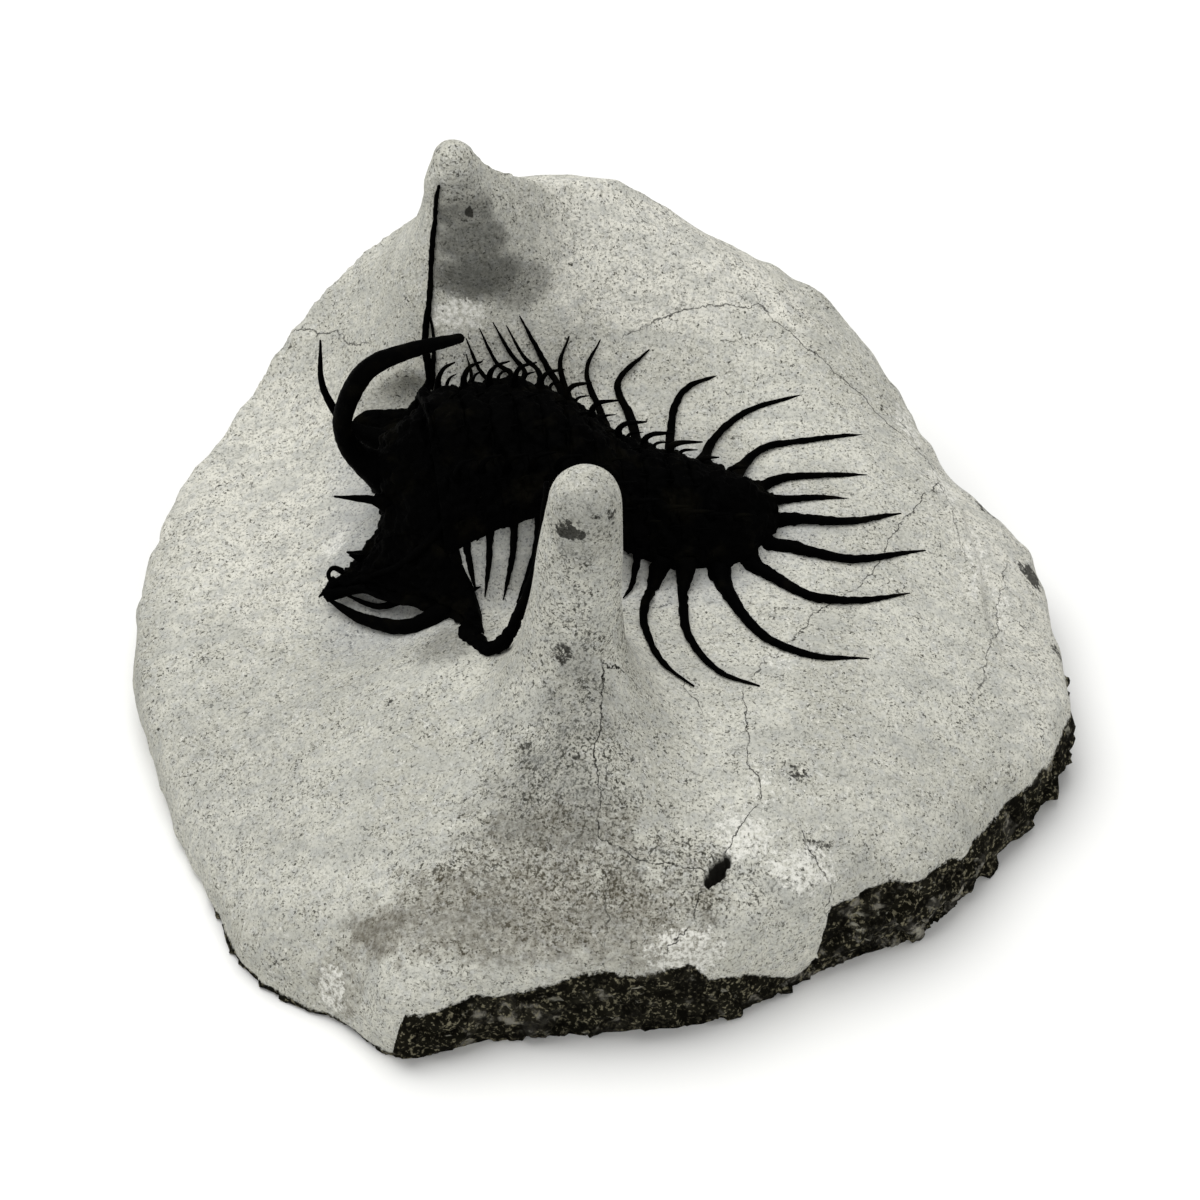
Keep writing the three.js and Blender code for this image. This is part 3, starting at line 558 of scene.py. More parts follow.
def limestone(settings):
    """Air-abraded limestone: the abrader leaves a dead matt skin, so light rolls softly round the pillars.

    Shell grains pepper it dark, grey and white, and the sides where it was broken show the dark stone.
    Real grains are 0.1 mm and less, too fine to show: the finest here are drawn 0.28 mm wide."""
    material, add = new_material("limestone_air_abraded")
    where = add("ShaderNodeTexCoord").outputs["Object"]
    mark = {name: add("ShaderNodeAttribute", attribute_name=name).outputs["Fac"] for name in MARKS}
    noise = {name: add("ShaderNodeTexNoise", {
        "Vector": where, "Scale": 1 / (size * MM), "Detail": detail, "Roughness": roughness})
        for name, size, detail, roughness in STONE_NOISES}
    tones = (settings.rock_pale, settings.rock_grey, settings.rock_broken)
    pale, grey, dark = ((*tone, 1) for tone in tones)

    cloud = add("ShaderNodeMapRange", {"Value": noise["blotch"], "From Min": 0.36, "From Max": 0.62})
    colour = add("ShaderNodeMix", {"Factor": cloud, "A": pale, "B": grey}, data_type="RGBA")
    # painted light: a pale wash where slopes and the bed wall under the body should look lit
    colour = lay_patch(add, colour, "#dedcd1", mark["chalk"], noise["blotch"], 0.7, 0.0, 1.0, 0.9)
    # the grains crowd together in places, most of all on the near pillar
    crowd = add("ShaderNodeMath", (noise["gather"], 0.6, mark["pepper"]), operation="MULTIPLY_ADD")
    # broad soft streaks and short dark dashes left by the abrader, all lying one way
    slant = add("ShaderNodeMapping", {
        "Vector": where, "Rotation": (0, 0, STREAK_TURN), "Scale": (STREAK_STRETCH, 1, 0.6)})
    for space, *grain in (
            # a mottle of cool and warm patches, then grey, pale, dark and white grains
            (where, "#9fa1a1", 1.0, 0.44, 0.66, 0.5, 4),
            (where, "#dddcd2", 0.5, 0.56, 0.68, 0.6),
            (where, "#838278", 0.34, 0.46, 0.68, 0.6),
            (where, "#4b4a41", 0.28, 0.64, 0.74, 0.8, 2, crowd),
            (where, "#2b2a22", 0.45, 0.70, 0.745, 0.85, 2, crowd),
            (where, "#eeede6", 0.36, 0.70, 0.75, 0.75),
            (slant, "#a3a49e", 2.4, 0.46, 0.66, 0.4, 3),
            (slant, "#64635a", 0.42, 0.64, 0.72, 0.5)):
        colour = grains(add, space, colour, *grain)
    # stains of the stone and painted shade: painted shade close round the animal, grey patina and brown
    # stain that are each partly painted shade, dark grain clusters that are partly painted chip shadows,
    # and pale chips
    for name, ink, edge, *reach in (
            ("cool_haze", "#9b9fa6", "lump", 0.8, 0.3, 1.1, 0.3),
            ("grey_patina", "#2c2d29", "speck", 0.5, 0.0, 1.0, 0.84),
            ("brown_stain", "#463f2f", "speck", 1.4, 0.0, 1.1, 0.85),
            ("dark_cluster", "#1d1c17", "speck", 1.5, 0.42, 0.62, 0.9),
            ("pale_chip", "#dfded6", "grit", 2.0, 0.35, 0.80, 0.85)):
        colour = lay_patch(add, colour, ink, mark[name], noise[edge], *reach)

    # hairline cracks that wander a little and fade in and out, and the open slot, painted near-black as
    # the shade inside it
    wander = add("ShaderNodeMath", (noise["peck"], 1.3, -0.65), operation="MULTIPLY_ADD")
    off = add("ShaderNodeMath", (mark["crack_side"], wander), operation="ADD")
    off = add("ShaderNodeMath", (off,), operation="ABSOLUTE")
    line = add("ShaderNodeMapRange", {
        "Value": off, "From Min": 0.02, "From Max": 0.10, "To Min": 1.0, "To Max": 0.0,
    }, interpolation_type="SMOOTHSTEP")
    gaps = add("ShaderNodeMapRange", {"Value": noise["lump"], "From Min": 0.32, "From Max": 0.48})
    slot_shade = add("ShaderNodeMapRange", {"Value": mark["pit"], "From Min": 0.05, "From Max": 0.3})
    for other, operation in ((gaps, "MULTIPLY"), (mark["crack_near"], "MULTIPLY"), (slot_shade, "MAXIMUM")):
        line = add("ShaderNodeMath", (line, other), operation=operation)
    colour = add("ShaderNodeMix", {"Factor": line, "A": colour, "B": linear("#14130e")}, data_type="RGBA")

    # the broken sides: near-black stone with darker fragments and paler ones that are a painted glint of
    # facets catching the light, a grey wash of painted light, grains and pale veins
    ragged = add("ShaderNodeMath", (noise["speck"], 1.6, -0.8), operation="MULTIPLY_ADD")
    crust = add("ShaderNodeMath", (mark["crust_depth"], ragged), operation="ADD")
    crust = add("ShaderNodeMapRange", {"Value": crust, "From Min": -0.05, "From Max": 0.2})
    broken = dark
    for name, ink, *reach in (
            ("fragment", "#2f2d25", 1.2, 0.6, 1.1, 0.8),
            ("fragment", "#87847a", 2.2, 0.9, 1.3, 0.8),
            ("chalk", "#8f8c82", 2.4, 0.55, 0.95, 0.8)):
        broken = lay_patch(add, broken, ink, mark[name], noise["lump"], *reach)
    for space, *grain in (
            (where, "#7d7863", 0.5, 0.52, 0.64, 0.85, 4),
            (slant, "#9b998b", 1.1, 0.62, 0.68, 0.7, 4),
            (where, "#0b0a07", 2.2, 0.46, 0.58, 0.85, 5)):
        broken = grains(add, space, broken, *grain)
    colour = add("ShaderNodeMix", {"Factor": crust, "A": colour, "B": broken}, data_type="RGBA")

    # peck marks of the abrader, grains standing out between them, the cracks cut in, and coarser rubble
    rubble = add("ShaderNodeMath", (crust, noise["chips"]), operation="MULTIPLY")
    relief = add("ShaderNodeMath", (noise["peck"], 0.9), operation="MULTIPLY")
    for pattern, height in ((noise["fine"], 0.4), (line, -0.5), (rubble, 2.0)):
        relief = add("ShaderNodeMath", (pattern, height, relief), operation="MULTIPLY_ADD")
    bump = add("ShaderNodeBump", {"Height": relief, "Strength": 0.65, "Distance": 0.35 * MM})
    gleam = add("ShaderNodeMapRange", {"Value": crust, "To Min": 0.2, "To Max": 0.02})
    finish_material(add, Base_Color=colour, Roughness=0.92, IOR=1.5, Specular_IOR_Level=gleam, Normal=bump)
    return material


def calcite_shell(settings):
    """Black calcite shell: fine-grained and hardly shining, so that it reads as a deep, soft black.

    Sparse worn specks are olive-brown. Its grain, some hundredths of a mm, is too fine to show and is
    drawn 0.24 mm wide."""
    material, add = new_material("calcite_shell_black")
    where = add("ShaderNodeTexCoord").outputs["Object"]
    colour = grains(add, where, (*settings.shell_colour, 1), "#080704", 3.5, 0.5, 0.75, detail=3)
    colour = grains(add, where, colour, "#1d1b14", 0.3, 0.74, 0.80, 0.7)
    gloss = add("ShaderNodeTexNoise", {"Vector": where, "Scale": 1 / (0.8 * MM)})
    gloss = add("ShaderNodeMapRange", {"Value": gloss, "To Min": 0.5, "To Max": 0.85})
    grain = add("ShaderNodeTexNoise", {"Vector": where, "Scale": 1 / (0.24 * MM), "Detail": 3})
    bump = add("ShaderNodeBump", {"Height": grain, "Strength": 0.6, "Distance": 0.14 * MM})
    finish_material(
        add, Base_Color=colour, Roughness=gloss, IOR=1.5, Specular_IOR_Level=0.012, Normal=bump)
    return material


# ------------------------------------------------------------------ the rock

def round_cone(x, y, z, a, b):
    """Distance to the solid swept by a ball that goes from station a to station b, changing size."""
    (ax, ay, az, ra), (bx, by, bz, rb) = a, b
    ba = np.array([bx - ax, by - ay, bz - az])
    length = np.linalg.norm(ba)
    share = np.clip(((x - ax) * ba[0] + (y - ay) * ba[1] + (z - az) * ba[2]) / length**2, 0, 1)
    off = (x - ax - share * ba[0], y - ay - share * ba[1], z - az - share * ba[2])
    return np.sqrt(off[0] ** 2 + off[1] ** 2 + off[2] ** 2) - (ra + (rb - ra) * share)


def pillar_field(x, y, z, stations):
    """Distance to a pillar with a round top, whose axis and radius change smoothly with height."""
    cx, cy, radius = hermite(stations, z)
    return np.sqrt((x - cx) ** 2 + (y - cy) ** 2 + np.maximum(z - stations[-1, 0], 0) ** 2) - radius


def crest_field(x, y, z, crest, fall):
    """Distance, nearly, to the slopes beside a crest line, which fall `fall` mm for each mm across."""
    slope = -np.inf
    for (ax, ay, az), (bx, by, bz) in zip(crest, crest[1:]):
        ba = np.array([bx - ax, by - ay])
        share = np.clip(((x - ax) * ba[0] + (y - ay) * ba[1]) / (ba @ ba), 0, 1)
        gap = np.hypot(x - ax - share * ba[0], y - ay - share * ba[1])
        slope = np.maximum(slope, az + (bz - az) * share - fall * gap)
    return (z - slope) / math.sqrt(1 + fall**2)


def rock_field(x, y, z):
    """Signed distance, nearly, to the block with its pillars and the bed under the animal."""
    height = rock_height(x, y)
    step = 0.5
    slope = np.hypot(rock_height(x + step, y) - height, rock_height(x, y + step) - height) / step
    field = (z - height) / np.sqrt(1 + np.minimum(slope, 3) ** 2)

    mid, edge, half, _ = hermite(BODY, x)
    ends = np.maximum(BED_START - x, x - BED_END)
    edge = edge - ROLL * (y - mid)
    # the bed's walls flare out on their way down
    flare = 0.4 * np.clip(edge - z, 0, 9)
    bed = np.maximum(np.maximum(z - edge + 0.2, (np.abs(y - mid) - half - flare + 0.6) * 0.92), ends)
    field = blend_min(field, bed, 1.6)
    heart, *wings = HEAD_BED
    for wing in wings:
        field = blend_min(field, round_cone(x, y, z, heart, wing), 1.5)
    field = blend_min(field, pillar_field(x, y, z, NEAR_PILLAR), 3.6)
    field = blend_min(field, pillar_field(x, y, z, FAR_PILLAR), 4.0)
    field = blend_min(field, crest_field(x, y, z, FAR_CREST, CREST_FALL), 4.0)
    field = blend_max(field, -round_cone(x, y, z, *CHEEK_HOLLOW), 1.6)

    bearing = np.arctan2(y, x)
    radius, rim = rim_at(bearing)
    side = (np.hypot(x, y) - radius + foot_inset(bearing) * (1 - smooth(z / (0.6 * rim)))) * 0.95
    return np.maximum(blend_max(field, side, 1.2), -z)


ROCK_BOX = (-57.0, -58.0, -1.5), (57.0, 57.0, 55.0)       # corners of the box the rock is drawn in, mm
BASE_SKIN = 0.05                                          # what lies lower than this is the underside


def rock_surface(step):
    """Vertices (mm) and quads of the rock's surface, drawn from its field on a grid `step` mm apart."""
    low = np.array(ROCK_BOX[0])
    axes = [np.arange(a, b, step) for a, b in zip(*ROCK_BOX)]
    x, y, z = np.meshgrid(*axes, indexing="ij", sparse=True)
    field = rock_field(x, y, z).astype(np.float32)
    grid = openvdb.FloatGrid(3 * step)     # beyond the box all is open air
    grid.copyFromArray(field)
    points, quads = grid.convertToQuads(0.0)
    points = points * step + low
    return points.astype(float), quads


def field_normals(points):
    """Which way the rock faces at points on or near its surface."""
    reach = 0.3
    slopes = [rock_field(*(points + reach * axis).T) - rock_field(*(points - reach * axis).T)
              for axis in np.eye(3)]
    return unit(np.stack(slopes, -1))


# Cracks in the rock, seen from above, and how dark each one is. They wander a little about these courses.
CRACKS = [
    ([(3, -20), (0.5, -22), (0.5, -27.5), (-0.5, -33), (0, -38), (3, -38.5), (11, -39.5)], 1.0),
    ([(8.5, -17), (10.5, -20)], 0.8),
    ([(38.5, 20), (32.5, 7.5), (27, -2), (20.5, -10), (15.5, -16.5), (16, -26), (16.5, -30.5), (13, -37)],
     0.9),
    ([(24, -5.5), (17, -14)], 0.6),
    ([(2.5, 31.5), (10, 34.5), (18.5, 37), (29.5, 28.5), (37.5, 23), (39, 19)], 0.8),
    ([(-34.5, 39.5), (-29, 37), (-26, 32.5)], 0.8),
    ([(45, 10), (43, -3), (42, -11)], 0.7),
    ([(1, -42), (0, -45.5)], 0.7),
    ([(21.5, -33.5), (24.5, -38.5)], 0.8),
    ([(10.5, -41), (7, -46)], 0.9),
    ([(33, 30.5), (38, 22), (41.5, 7)], 0.5),
]
CRACK_REACH = 3.0                                  # how far off a crack its mark still tells, mm
PIT = np.array([(11, -40.5), (13.5, -37)])         # the open slot where two cracks meet
PIT_DEPTH = 2.6
FLAKED = (18, -36, 10)         # a flaked place in front on the right: x, y and how far it reaches

# Patches on the rock, by mark: centre, radii (mm), strength.
PATCHES = {
    # grey patina of the stone together with painted shade: the far pillar's dark face is both, and the
    # near pillar's front, the slope below it and the patch under the near cheek (a painted shadow of the
    # head) are painted shade
    "grey_patina": [
        ((-16, 33, 48), (3, 5, 2), 0.5), ((-15, 33, 45), (4, 5, 3), 0.7),
        ((-14, 32.5, 41.5), (5, 5, 3.5), 0.75), ((-13.5, 32, 38), (6, 4.5, 3), 0.85),
        ((-8.5, 31.5, 36.5), (4.5, 4.5, 3), 0.6), ((-9, 34, 40.5), (8, 8, 7), 0.35),
        ((-1, -20, 48), (6, 6, 7), 0.35), ((-2, -26, 28), (5, 5, 8), 0.45),
        ((-6, -33, 22), (9, 8, 6), 0.45), ((-15, -9, 19), (6, 4, 4), 0.55),
        ((-38, -22, 10), (12, 14, 8), 0.22), ((23, -36, 15), (9, 5, 6), 0.22),
    ],
    # dark grain clusters; the ones out by the ledge on the right are painted shadows of its chips
    "dark_cluster": [
        ((-3.5, -19, 46.5), (2, 2, 1.5), 0.75), ((0.5, -18.5, 48.5), (2, 2, 0.8), 0.5),
        ((1.5, -18, 47.5), (0.8, 2, 1.5), 0.5), ((-4, -22, 32), (1, 2, 1.5), 0.65),
        ((-2.5, -22, 33), (2.5, 2.5, 2.5), 0.22), ((21, -27.5, 19.5), (2, 1.5, 2), 0.5),
        ((22.5, -35, 16.5), (2, 1.5, 1.5), 0.5), ((-23, -15.5, 18), (1, 1, 1.5), 0.5),
        ((-14.5, 33.5, 45.5), (0.5, 2, 1), 0.9), ((48.5, 11.5, 12), (2, 2.5, 1.5), 0.7),
        ((44, 20.5, 13.5), (2, 2, 1.5), 0.6), ((50.5, 0.5, 10), (1.5, 1.5, 1.5), 0.6),
    ],
    # brown stain together with painted shade on the front slopes, which turn away from the lamp
    "brown_stain": [
        ((-22.5, -42.5, 11.5), (7, 3.5, 4), 0.75), ((-12, -45, 13), (9, 2.5, 4), 0.6),
        ((-9, -43, 15), (22, 6, 6), 0.6), ((3, -45.5, 13), (10, 2, 4), 0.5),
        ((-27, -45, 5), (5, 3, 3), 0.55), ((-6, -38, 19), (12, 6, 6), 0.45),
    ],
    "pale_chip": [
        ((15.5, -35, 18), (3.5, 3, 4), 0.6), ((21, -37.5, 16), (4.5, 2.5, 5), 0.6),
        ((9.5, -46, 12.5), (5, 2, 4), 0.6), ((16.5, -29.5, 19.5), (2.5, 3, 3), 0.4),
        ((19.5, -12, 21.5), (2.5, 2.5, 3), 0.45), ((35.5, 28.5, 18), (2, 4.5, 4), 0.6),
        ((39, 20, 17), (2, 4, 4), 0.6), ((42, 8.5, 15.5), (1.5, 7, 4), 0.5),
        ((44.5, 4, 14), (1.5, 3.5, 4), 0.5), ((-28, -44.5, 4.5), (2.5, 2, 3), 0.6),
        ((-30, 10, 16.5), (2, 2, 2), 0.55), ((-15.5, 29.5, 34), (4.5, 3, 2), 0.6),
    ],
    # painted light: paler stone on the back slope, the sides and the bed wall under the body, where the
    # lamp leaves them in shade
    "chalk": [
        ((10, 40, 35), (24, 12, 12), 0.8), ((44, 22, 14), (9, 22, 9), 0.6),
        ((48, -2, 10), (6, 22, 8), 0.5), ((-2, -2, 24), (14, 3, 4), 0.7),
        ((-38, 20, 14), (14, 22, 10), 0.6), ((34, -36, 2), (16, 14, 6), 0.6),
    ],
    "pepper": [
        ((-2, -20, 34), (6, 6, 20), 0.2), ((-4, -31, 24), (9, 9, 7), 0.3),
        ((-2, -40, 17), (24, 7, 5), 0.3), ((-16, 36, 49), (4, 4, 4), 0.12),
    ],
}
MARKS = ("crust_depth", "fragment", "crack_side", "crack_near", "pit", "cool_haze", *PATCHES)


def crack_marks(points):
    """For each point, which side of the nearest crack it is on and how far, and how near it is."""
    side = np.full(len(points), CRACK_REACH)
    nearest = np.full(len(points), np.inf)
    near = np.zeros(len(points))
    places = points[:, :2].copy()
    for axis in (0, 1):
        wander = lattice_noise(points, 5, 43 + axis) + 0.4 * lattice_noise(points, 1.8, 47 + axis)
        places[:, axis] += 0.9 * wander
    for route, strength in CRACKS:
        route = np.asarray(route, float)
        for a, b in zip(route, route[1:]):
            _, gap, sign = off_segment(places, a, b)
            closer = gap < nearest
            nearest = np.where(closer, gap, nearest)
            side = np.where(closer, gap * sign, side)
            near = np.where(closer, strength * smooth((1.6 - gap) / 0.6), near)
    return np.clip(side, -CRACK_REACH, CRACK_REACH), near


SPINE_ON_PILLAR = -19.3        # x of the far cheek spine where it runs up the pillar


def patch_marks(points):
    """The stains, chips, crowded grains, painted shade and painted light: for each mark, its strength at
    each point.
    """
    marks = {name: np.zeros(len(points)) for name in PATCHES}
    ragged = 0.3 * lattice_noise(points, 1.6, 23) + 0.2 * lattice_noise(points, 0.8, 29)
    for name, patches in PATCHES.items():
        torn = ragged * (0.4 if name == "grey_patina" else 1)
        for centre, radii, strength in patches:
            off = np.sqrt((((points - centre) / radii) ** 2).sum(1))
            marks[name] = np.maximum(marks[name], strength * smooth((1.35 - off + torn) / 0.8))
    # the grey patina and painted shade of the far pillar's face stop at the cheek spine that runs up it
    past_spine = smooth(points[:, 0] - SPINE_ON_PILLAR)
    marks["grey_patina"] *= np.where(points[:, 1] > 15, past_spine, 1)
    return marks


# The ledge on the right, from front to back: x and y of its edge, seen from above, and its drop in mm.
LEDGE = np.array([(44, -8), (42, 8.5), (39, 20), (35.5, 28.5), (24, 37), (14, 44)])
LEDGE_DROP = 1.1


def ledge_share(points):
    """1 beyond the ledge, where a thin flake has come away, and 0 inside it. Its edge is ragged."""
    x, y, _ = points.T
    ragged = 0.7 * lattice_noise(points, 4, 53) + 0.35 * lattice_noise(points, 1.5, 59)
    edge = np.interp(y, LEDGE[:, 1], LEDGE[:, 0])
    ends = smooth((y - LEDGE[0, 1]) / 8) * smooth((LEDGE[-1, 1] - y) / 4)
    return ends * smooth((x - edge + ragged) / 0.4)


def pit_share(points):
    """1 inside the open slot, 0 outside it. The slot is widest in the middle and runs out to a point."""
    share, gap, _ = off_segment(points[:, :2], *PIT)
    return smooth((0.15 + 0.65 * np.sin(np.pi * share) - gap) / 0.3)


def build_rock(settings):
    """The limestone block: its surface from the field, then its relief, then its marks."""
    step = settings.rock_step / MM
    points, quads = rock_surface(step)
    normals = field_normals(points)
    x, y, z = points.T
    bearing = np.arctan2(y, x)
    radius, _ = rim_at(bearing)
    out = np.hypot(x, y) / radius
    marks = patch_marks(points)

    # the dark crust starts at a ragged line round the sides, and is broken rock all the way down
    top = np.interp(np.degrees(bearing), CRUST_TOP[:, 0], CRUST_TOP[:, 1])
    ragged = 0.9 * lattice_noise(points * [1, 1, 0.3], 7, 31)
    ragged += 0.8 * lattice_noise(points * [1, 1, 0.4], 2.6, 37)
    depth = top - z + ragged * (0.25 + 0.75 * smooth(top / 6))
    # it keeps to the outer edge of the block
    marks["crust_depth"] = np.where(out < 0.85, -6.0, depth - 60 * np.clip(0.955 - out, 0, 1))
    broken = smooth(marks["crust_depth"] / 2.6 + 0.2)
    side = smooth((out - 0.93) / 0.05)
    # the sides and the flaked place are rougher than the abraded top
    flaked = smooth(1.5 - np.hypot(x - FLAKED[0], y - FLAKED[1]) / FLAKED[2])
    rough = 0.35 * np.maximum(side, 0.8 * flaked)
    lumps = sum(height * lattice_noise(points, size, seed) for height, size, seed in (
        (0.3, 14, 3), (0.13, 5, 5), (0.05, 1.6, 7), (rough, 2.2, 41)))
    coarse, marks["fragment"] = facets(points, 4.6, 11)
    fine, _ = facets(points, 1.9, 19)
    shards = 0.85 * coarse + 0.45 * fine + 0.2 * lattice_noise(points, 0.9, 17)
    moved = points + normals * (lumps * (1 - broken) + settings.crust_relief * shards * broken)[:, None]
    moved[:, 2] -= LEDGE_DROP * ledge_share(points) * (1 - broken)
    marks["pit"] = pit_share(points)
    on_base = z < BASE_SKIN
    moved[:, 2] = np.where(on_base, 0.0, np.maximum(moved[:, 2] - PIT_DEPTH * marks["pit"], 0.0))

    # painted shade: a darker bluish grey on the rock close round the animal, fading out 11 mm from its
    # body
    mid, _, half, _ = hermite(BODY, x)
    ends = np.maximum(np.maximum(-26 - x, x - 20), 0)
    marks["cool_haze"] = smooth(1 - np.hypot(np.maximum(np.abs(y - mid) - half, 0), ends) / 11)
    marks["crack_side"], marks["crack_near"] = crack_marks(points)

    # the underside is dropped and filled again below, so that it is one flat face
    skin = (moved, quads[~on_base[quads].all(1)].tolist())
    rock = mesh_piece("limestone_block", [skin], limestone(settings), "matrix")
    mesh = rock.data
    for name in MARKS:
        layer = mesh.attributes.new(name, "FLOAT", "POINT")
        layer.data.foreach_set("value", np.ascontiguousarray(marks[name], np.float32))
    shell = bmesh.new()
    shell.from_mesh(mesh)
    bmesh.ops.delete(shell, geom=[v for v in shell.verts if not v.link_faces], context="VERTS")
    bmesh.ops.holes_fill(shell, edges=[e for e in shell.edges if e.is_boundary])
    bmesh.ops.recalc_face_normals(shell, faces=shell.faces)
    shell.to_mesh(mesh)
    shell.free()


# ------------------------------------------------------------------ the animal

def body_point(x, s, lift=0.0):
    """Points on the arched back: x along the midline, s from -1 (near edge) to 1 (far edge)."""
    x, s = np.broadcast_arrays(np.asarray(x, float), np.asarray(s, float))
    mid, edge, half, arch = hermite(BODY, x)
    yaw = np.interp(x, YAW[:, 0], YAW[:, 1])
    angle = s * math.pi / 2
    lobe = 0.9 * bell(s, 0, AXIS_WIDTH)
    across = half * np.sin(angle)
    up = (arch + lobe + lift) * np.cos(angle)
    return np.stack([x - across * yaw, mid + across, edge + up - ROLL * across], -1)


# Thorns of each half segment: how far behind its middle, s, length and thickness.
BACK_HOOKS = [(0, 0.44, 3.5, 0.42), (1.1, 0.56, 1.9, 0.25), (0.7, 0.15, 1.5, 0.3), (-0.2, 0.78, 0.9, 0.28)]


def back_hook(x, s, length, lean, thick):
    """A thorn on the back that rises from the shell and bends towards the tail."""
    foot = body_point(x, s, -0.7)
    out = foot - body_point(x, 0, -30)
    out[0] = 0
    out = unit(out)
    back = np.array([1.0, 0, 0])
    route = [foot, foot + out * length * (0.55 - 0.2 * lean) - back * length * 0.02,
             foot + out * length * (0.95 - 0.45 * lean) + back * length * 0.18,
             foot + out * length * (1.15 - 0.6 * lean) + back * length * (0.5 + 0.45 * lean)]
    radii = np.array([1.5, 0.85, 0.6, 0.25]) * thick
    return tube(route, radii, 8, 14, 0.15, int(abs(x * 10)) + 3)


def pleural_root(side, x):
    """Where a side spine starts, a little inside the edge of its segment."""
    return body_point(x, side * 0.96) + np.array([0, -side * 0.7, 0.55])


def raised_sheet(grid, heart, seed, inner):
    """A closed shell whose outer face is a grid roughened by granules and tubercles."""
    flat = grid.reshape(-1, 3)
    rough = 0.34 * lattice_noise(flat, 1.5, seed) + 0.2 * lattice_noise(flat, 0.7, seed + 1)
    knobs = np.maximum(granules(grid, 0.5, 0.14, seed), granules(grid, 1.1, 0.34, seed + 2))
    lift = rough.reshape(grid.shape[:2]) + knobs
    return closed_sheet(grid + grid_normals(grid, heart) * lift[..., None], inner)


def segment_shell(start, end, seed, rows=22, columns=170):
    """One band of the thorax: axis ring, furrows, pleural ridges and granules, closed underneath."""
    u = np.linspace(0, 1, rows)[:, None]
    s = np.linspace(-1, 1, columns)[None, :]
    x = start + (end - start) * u
    on_axis = 1 - smooth((np.abs(s) - AXIS_WIDTH) / 0.08)
    ring = 0.5 * np.sin(np.pi * np.clip((u - 0.12) / 0.88, 0, 1)) - 0.35 * bell(u, 0.14, 0.07)
    band = 0.5 * bell(u, 0.68, 0.2) - 0.3 * bell(u, 0.33, 0.09) + 0.1 * bell(u, 0.14, 0.1)
    furrow = -0.5 * bell(np.abs(s), 0.3, 0.045)
    grid = body_point(x, s, ring * on_axis + band * (1 - on_axis) + furrow)
    return raised_sheet(grid, body_point((start + end) / 2, 0, -12), seed, body_point(x, s, -1.2))


def stoutness(side, k):
    """Thickness of a side spine: most in the last two pairs, least in the far side's front ones."""
    if k > 7:
        return 1
    if side == NEAR:
        return 0.75
    return 0.85 if k > 4 else 0.62


def build_thorax(settings, material):
    """The ten segments, each with its thorns and its pair of side spines."""
    for k in range(SEGMENTS):
        start = THORAX_START + SEGMENT_PITCH * k
        centre = start + SEGMENT_PITCH / 2
        lean = k / (SEGMENTS - 1)
        # each shell laps over its neighbours a little, and the first one reaches in under the head
        front = start - (0.9 if k == 0 else 0.1)
        parts = [segment_shell(front, start + SEGMENT_PITCH + 0.25, 100 + 5 * k)]
        for side in (NEAR, FAR):
            for behind, s, length, thick in BACK_HOOKS:
                parts.append(back_hook(centre + behind, side * s, length, lean, thick))
            route = [pleural_root(side, centre)] + PLEURAL_SPINES[side][k]
            root = 1.3 if k > 5 else 0.9
            radii = np.array([root, 0.56, 0.5, 0.42, 0.3, 0.1]) * stoutness(side, k)
            radii = radii * settings.spine_thickness
            parts.append(tube(route, radii, 10, 40, 0.26, 200 + k, SPINE_GAP))
        place = f"{k + 1:02d}"
        piece = mesh_piece(f"thorax_shell_{place}", parts, material, f"thorax_segment_{place}")


def build_pygidium(settings, material):
    """The tail shield, with its rings, its ribs and its spines."""
    start = THORAX_START + SEGMENT_PITCH * SEGMENTS
    u = np.linspace(0, 1, 70)[:, None]
    s = np.linspace(-1, 1, 130)[None, :]
    x = start + 0.05 + (TAIL_END - start) * u
    rings = 0.35 * np.sin(2 * np.pi * 3.5 * u) * (1 - u) * (1 - smooth((np.abs(s) - AXIS_WIDTH) / 0.08))
    furrow = -0.4 * bell(np.abs(s), 0.33, 0.06)
    ribs = 0.3 * np.cos(2 * np.pi * 2.5 * (u - 0.5 * np.abs(s))) * smooth((np.abs(s) - 0.36) / 0.1)
    grid = body_point(x, s, rings + furrow + ribs * (1 - u))
    parts = [raised_sheet(grid, body_point(14, 0, -12), 300, body_point(x, s, -1.0))]
    for side in (NEAR, FAR):
        thick = settings.spine_thickness * (1 if side == NEAR else 0.78)
        for k, route in enumerate(TAIL_SPINES[side]):
            radii = np.array([1.9, 0.9, 0.6, 0.5, 0.42, 0.3, 0.1]) * thick
            parts.append(tube(route, radii, 12, 56, 0.22, 310 + k, SPINE_GAP))
        for x_hook in (11.6, 14.6):
            parts.append(back_hook(x_hook, side * 0.4, 2, 1, 0.36))
    piece = mesh_piece("tail_shield", parts, material, "pygidium")


def net_point(s, v):
    """Points of the head shield's net at places s (across) and v (from back to front)."""
    s, v = np.broadcast_arrays(np.asarray(s, float), np.asarray(v, float))
    flat_s, flat_v = s.ravel(), v.ravel()
    table = np.column_stack([HEAD_V, HEAD_NET.reshape(len(HEAD_V), -1)])
    rows = np.stack(hermite(table, flat_v), -1).reshape(-1, len(HEAD_S), 3)
    slopes = np.gradient(rows, HEAD_S, axis=1)
    k = np.clip(np.searchsorted(HEAD_S, flat_s, side="right") - 1, 0, len(HEAD_S) - 2)
    each = np.arange(len(flat_s))
    span = (HEAD_S[k + 1] - HEAD_S[k])[:, None]
    t = (flat_s - HEAD_S[k])[:, None] / span
    point = cubic(t, span, rows[each, k], rows[each, k + 1], slopes[each, k], slopes[each, k + 1])
    return point.reshape(s.shape + (3,))


HEAD_HEART = np.array([-18.0, 11, 19])      # a place inside the head: its shell faces away from it


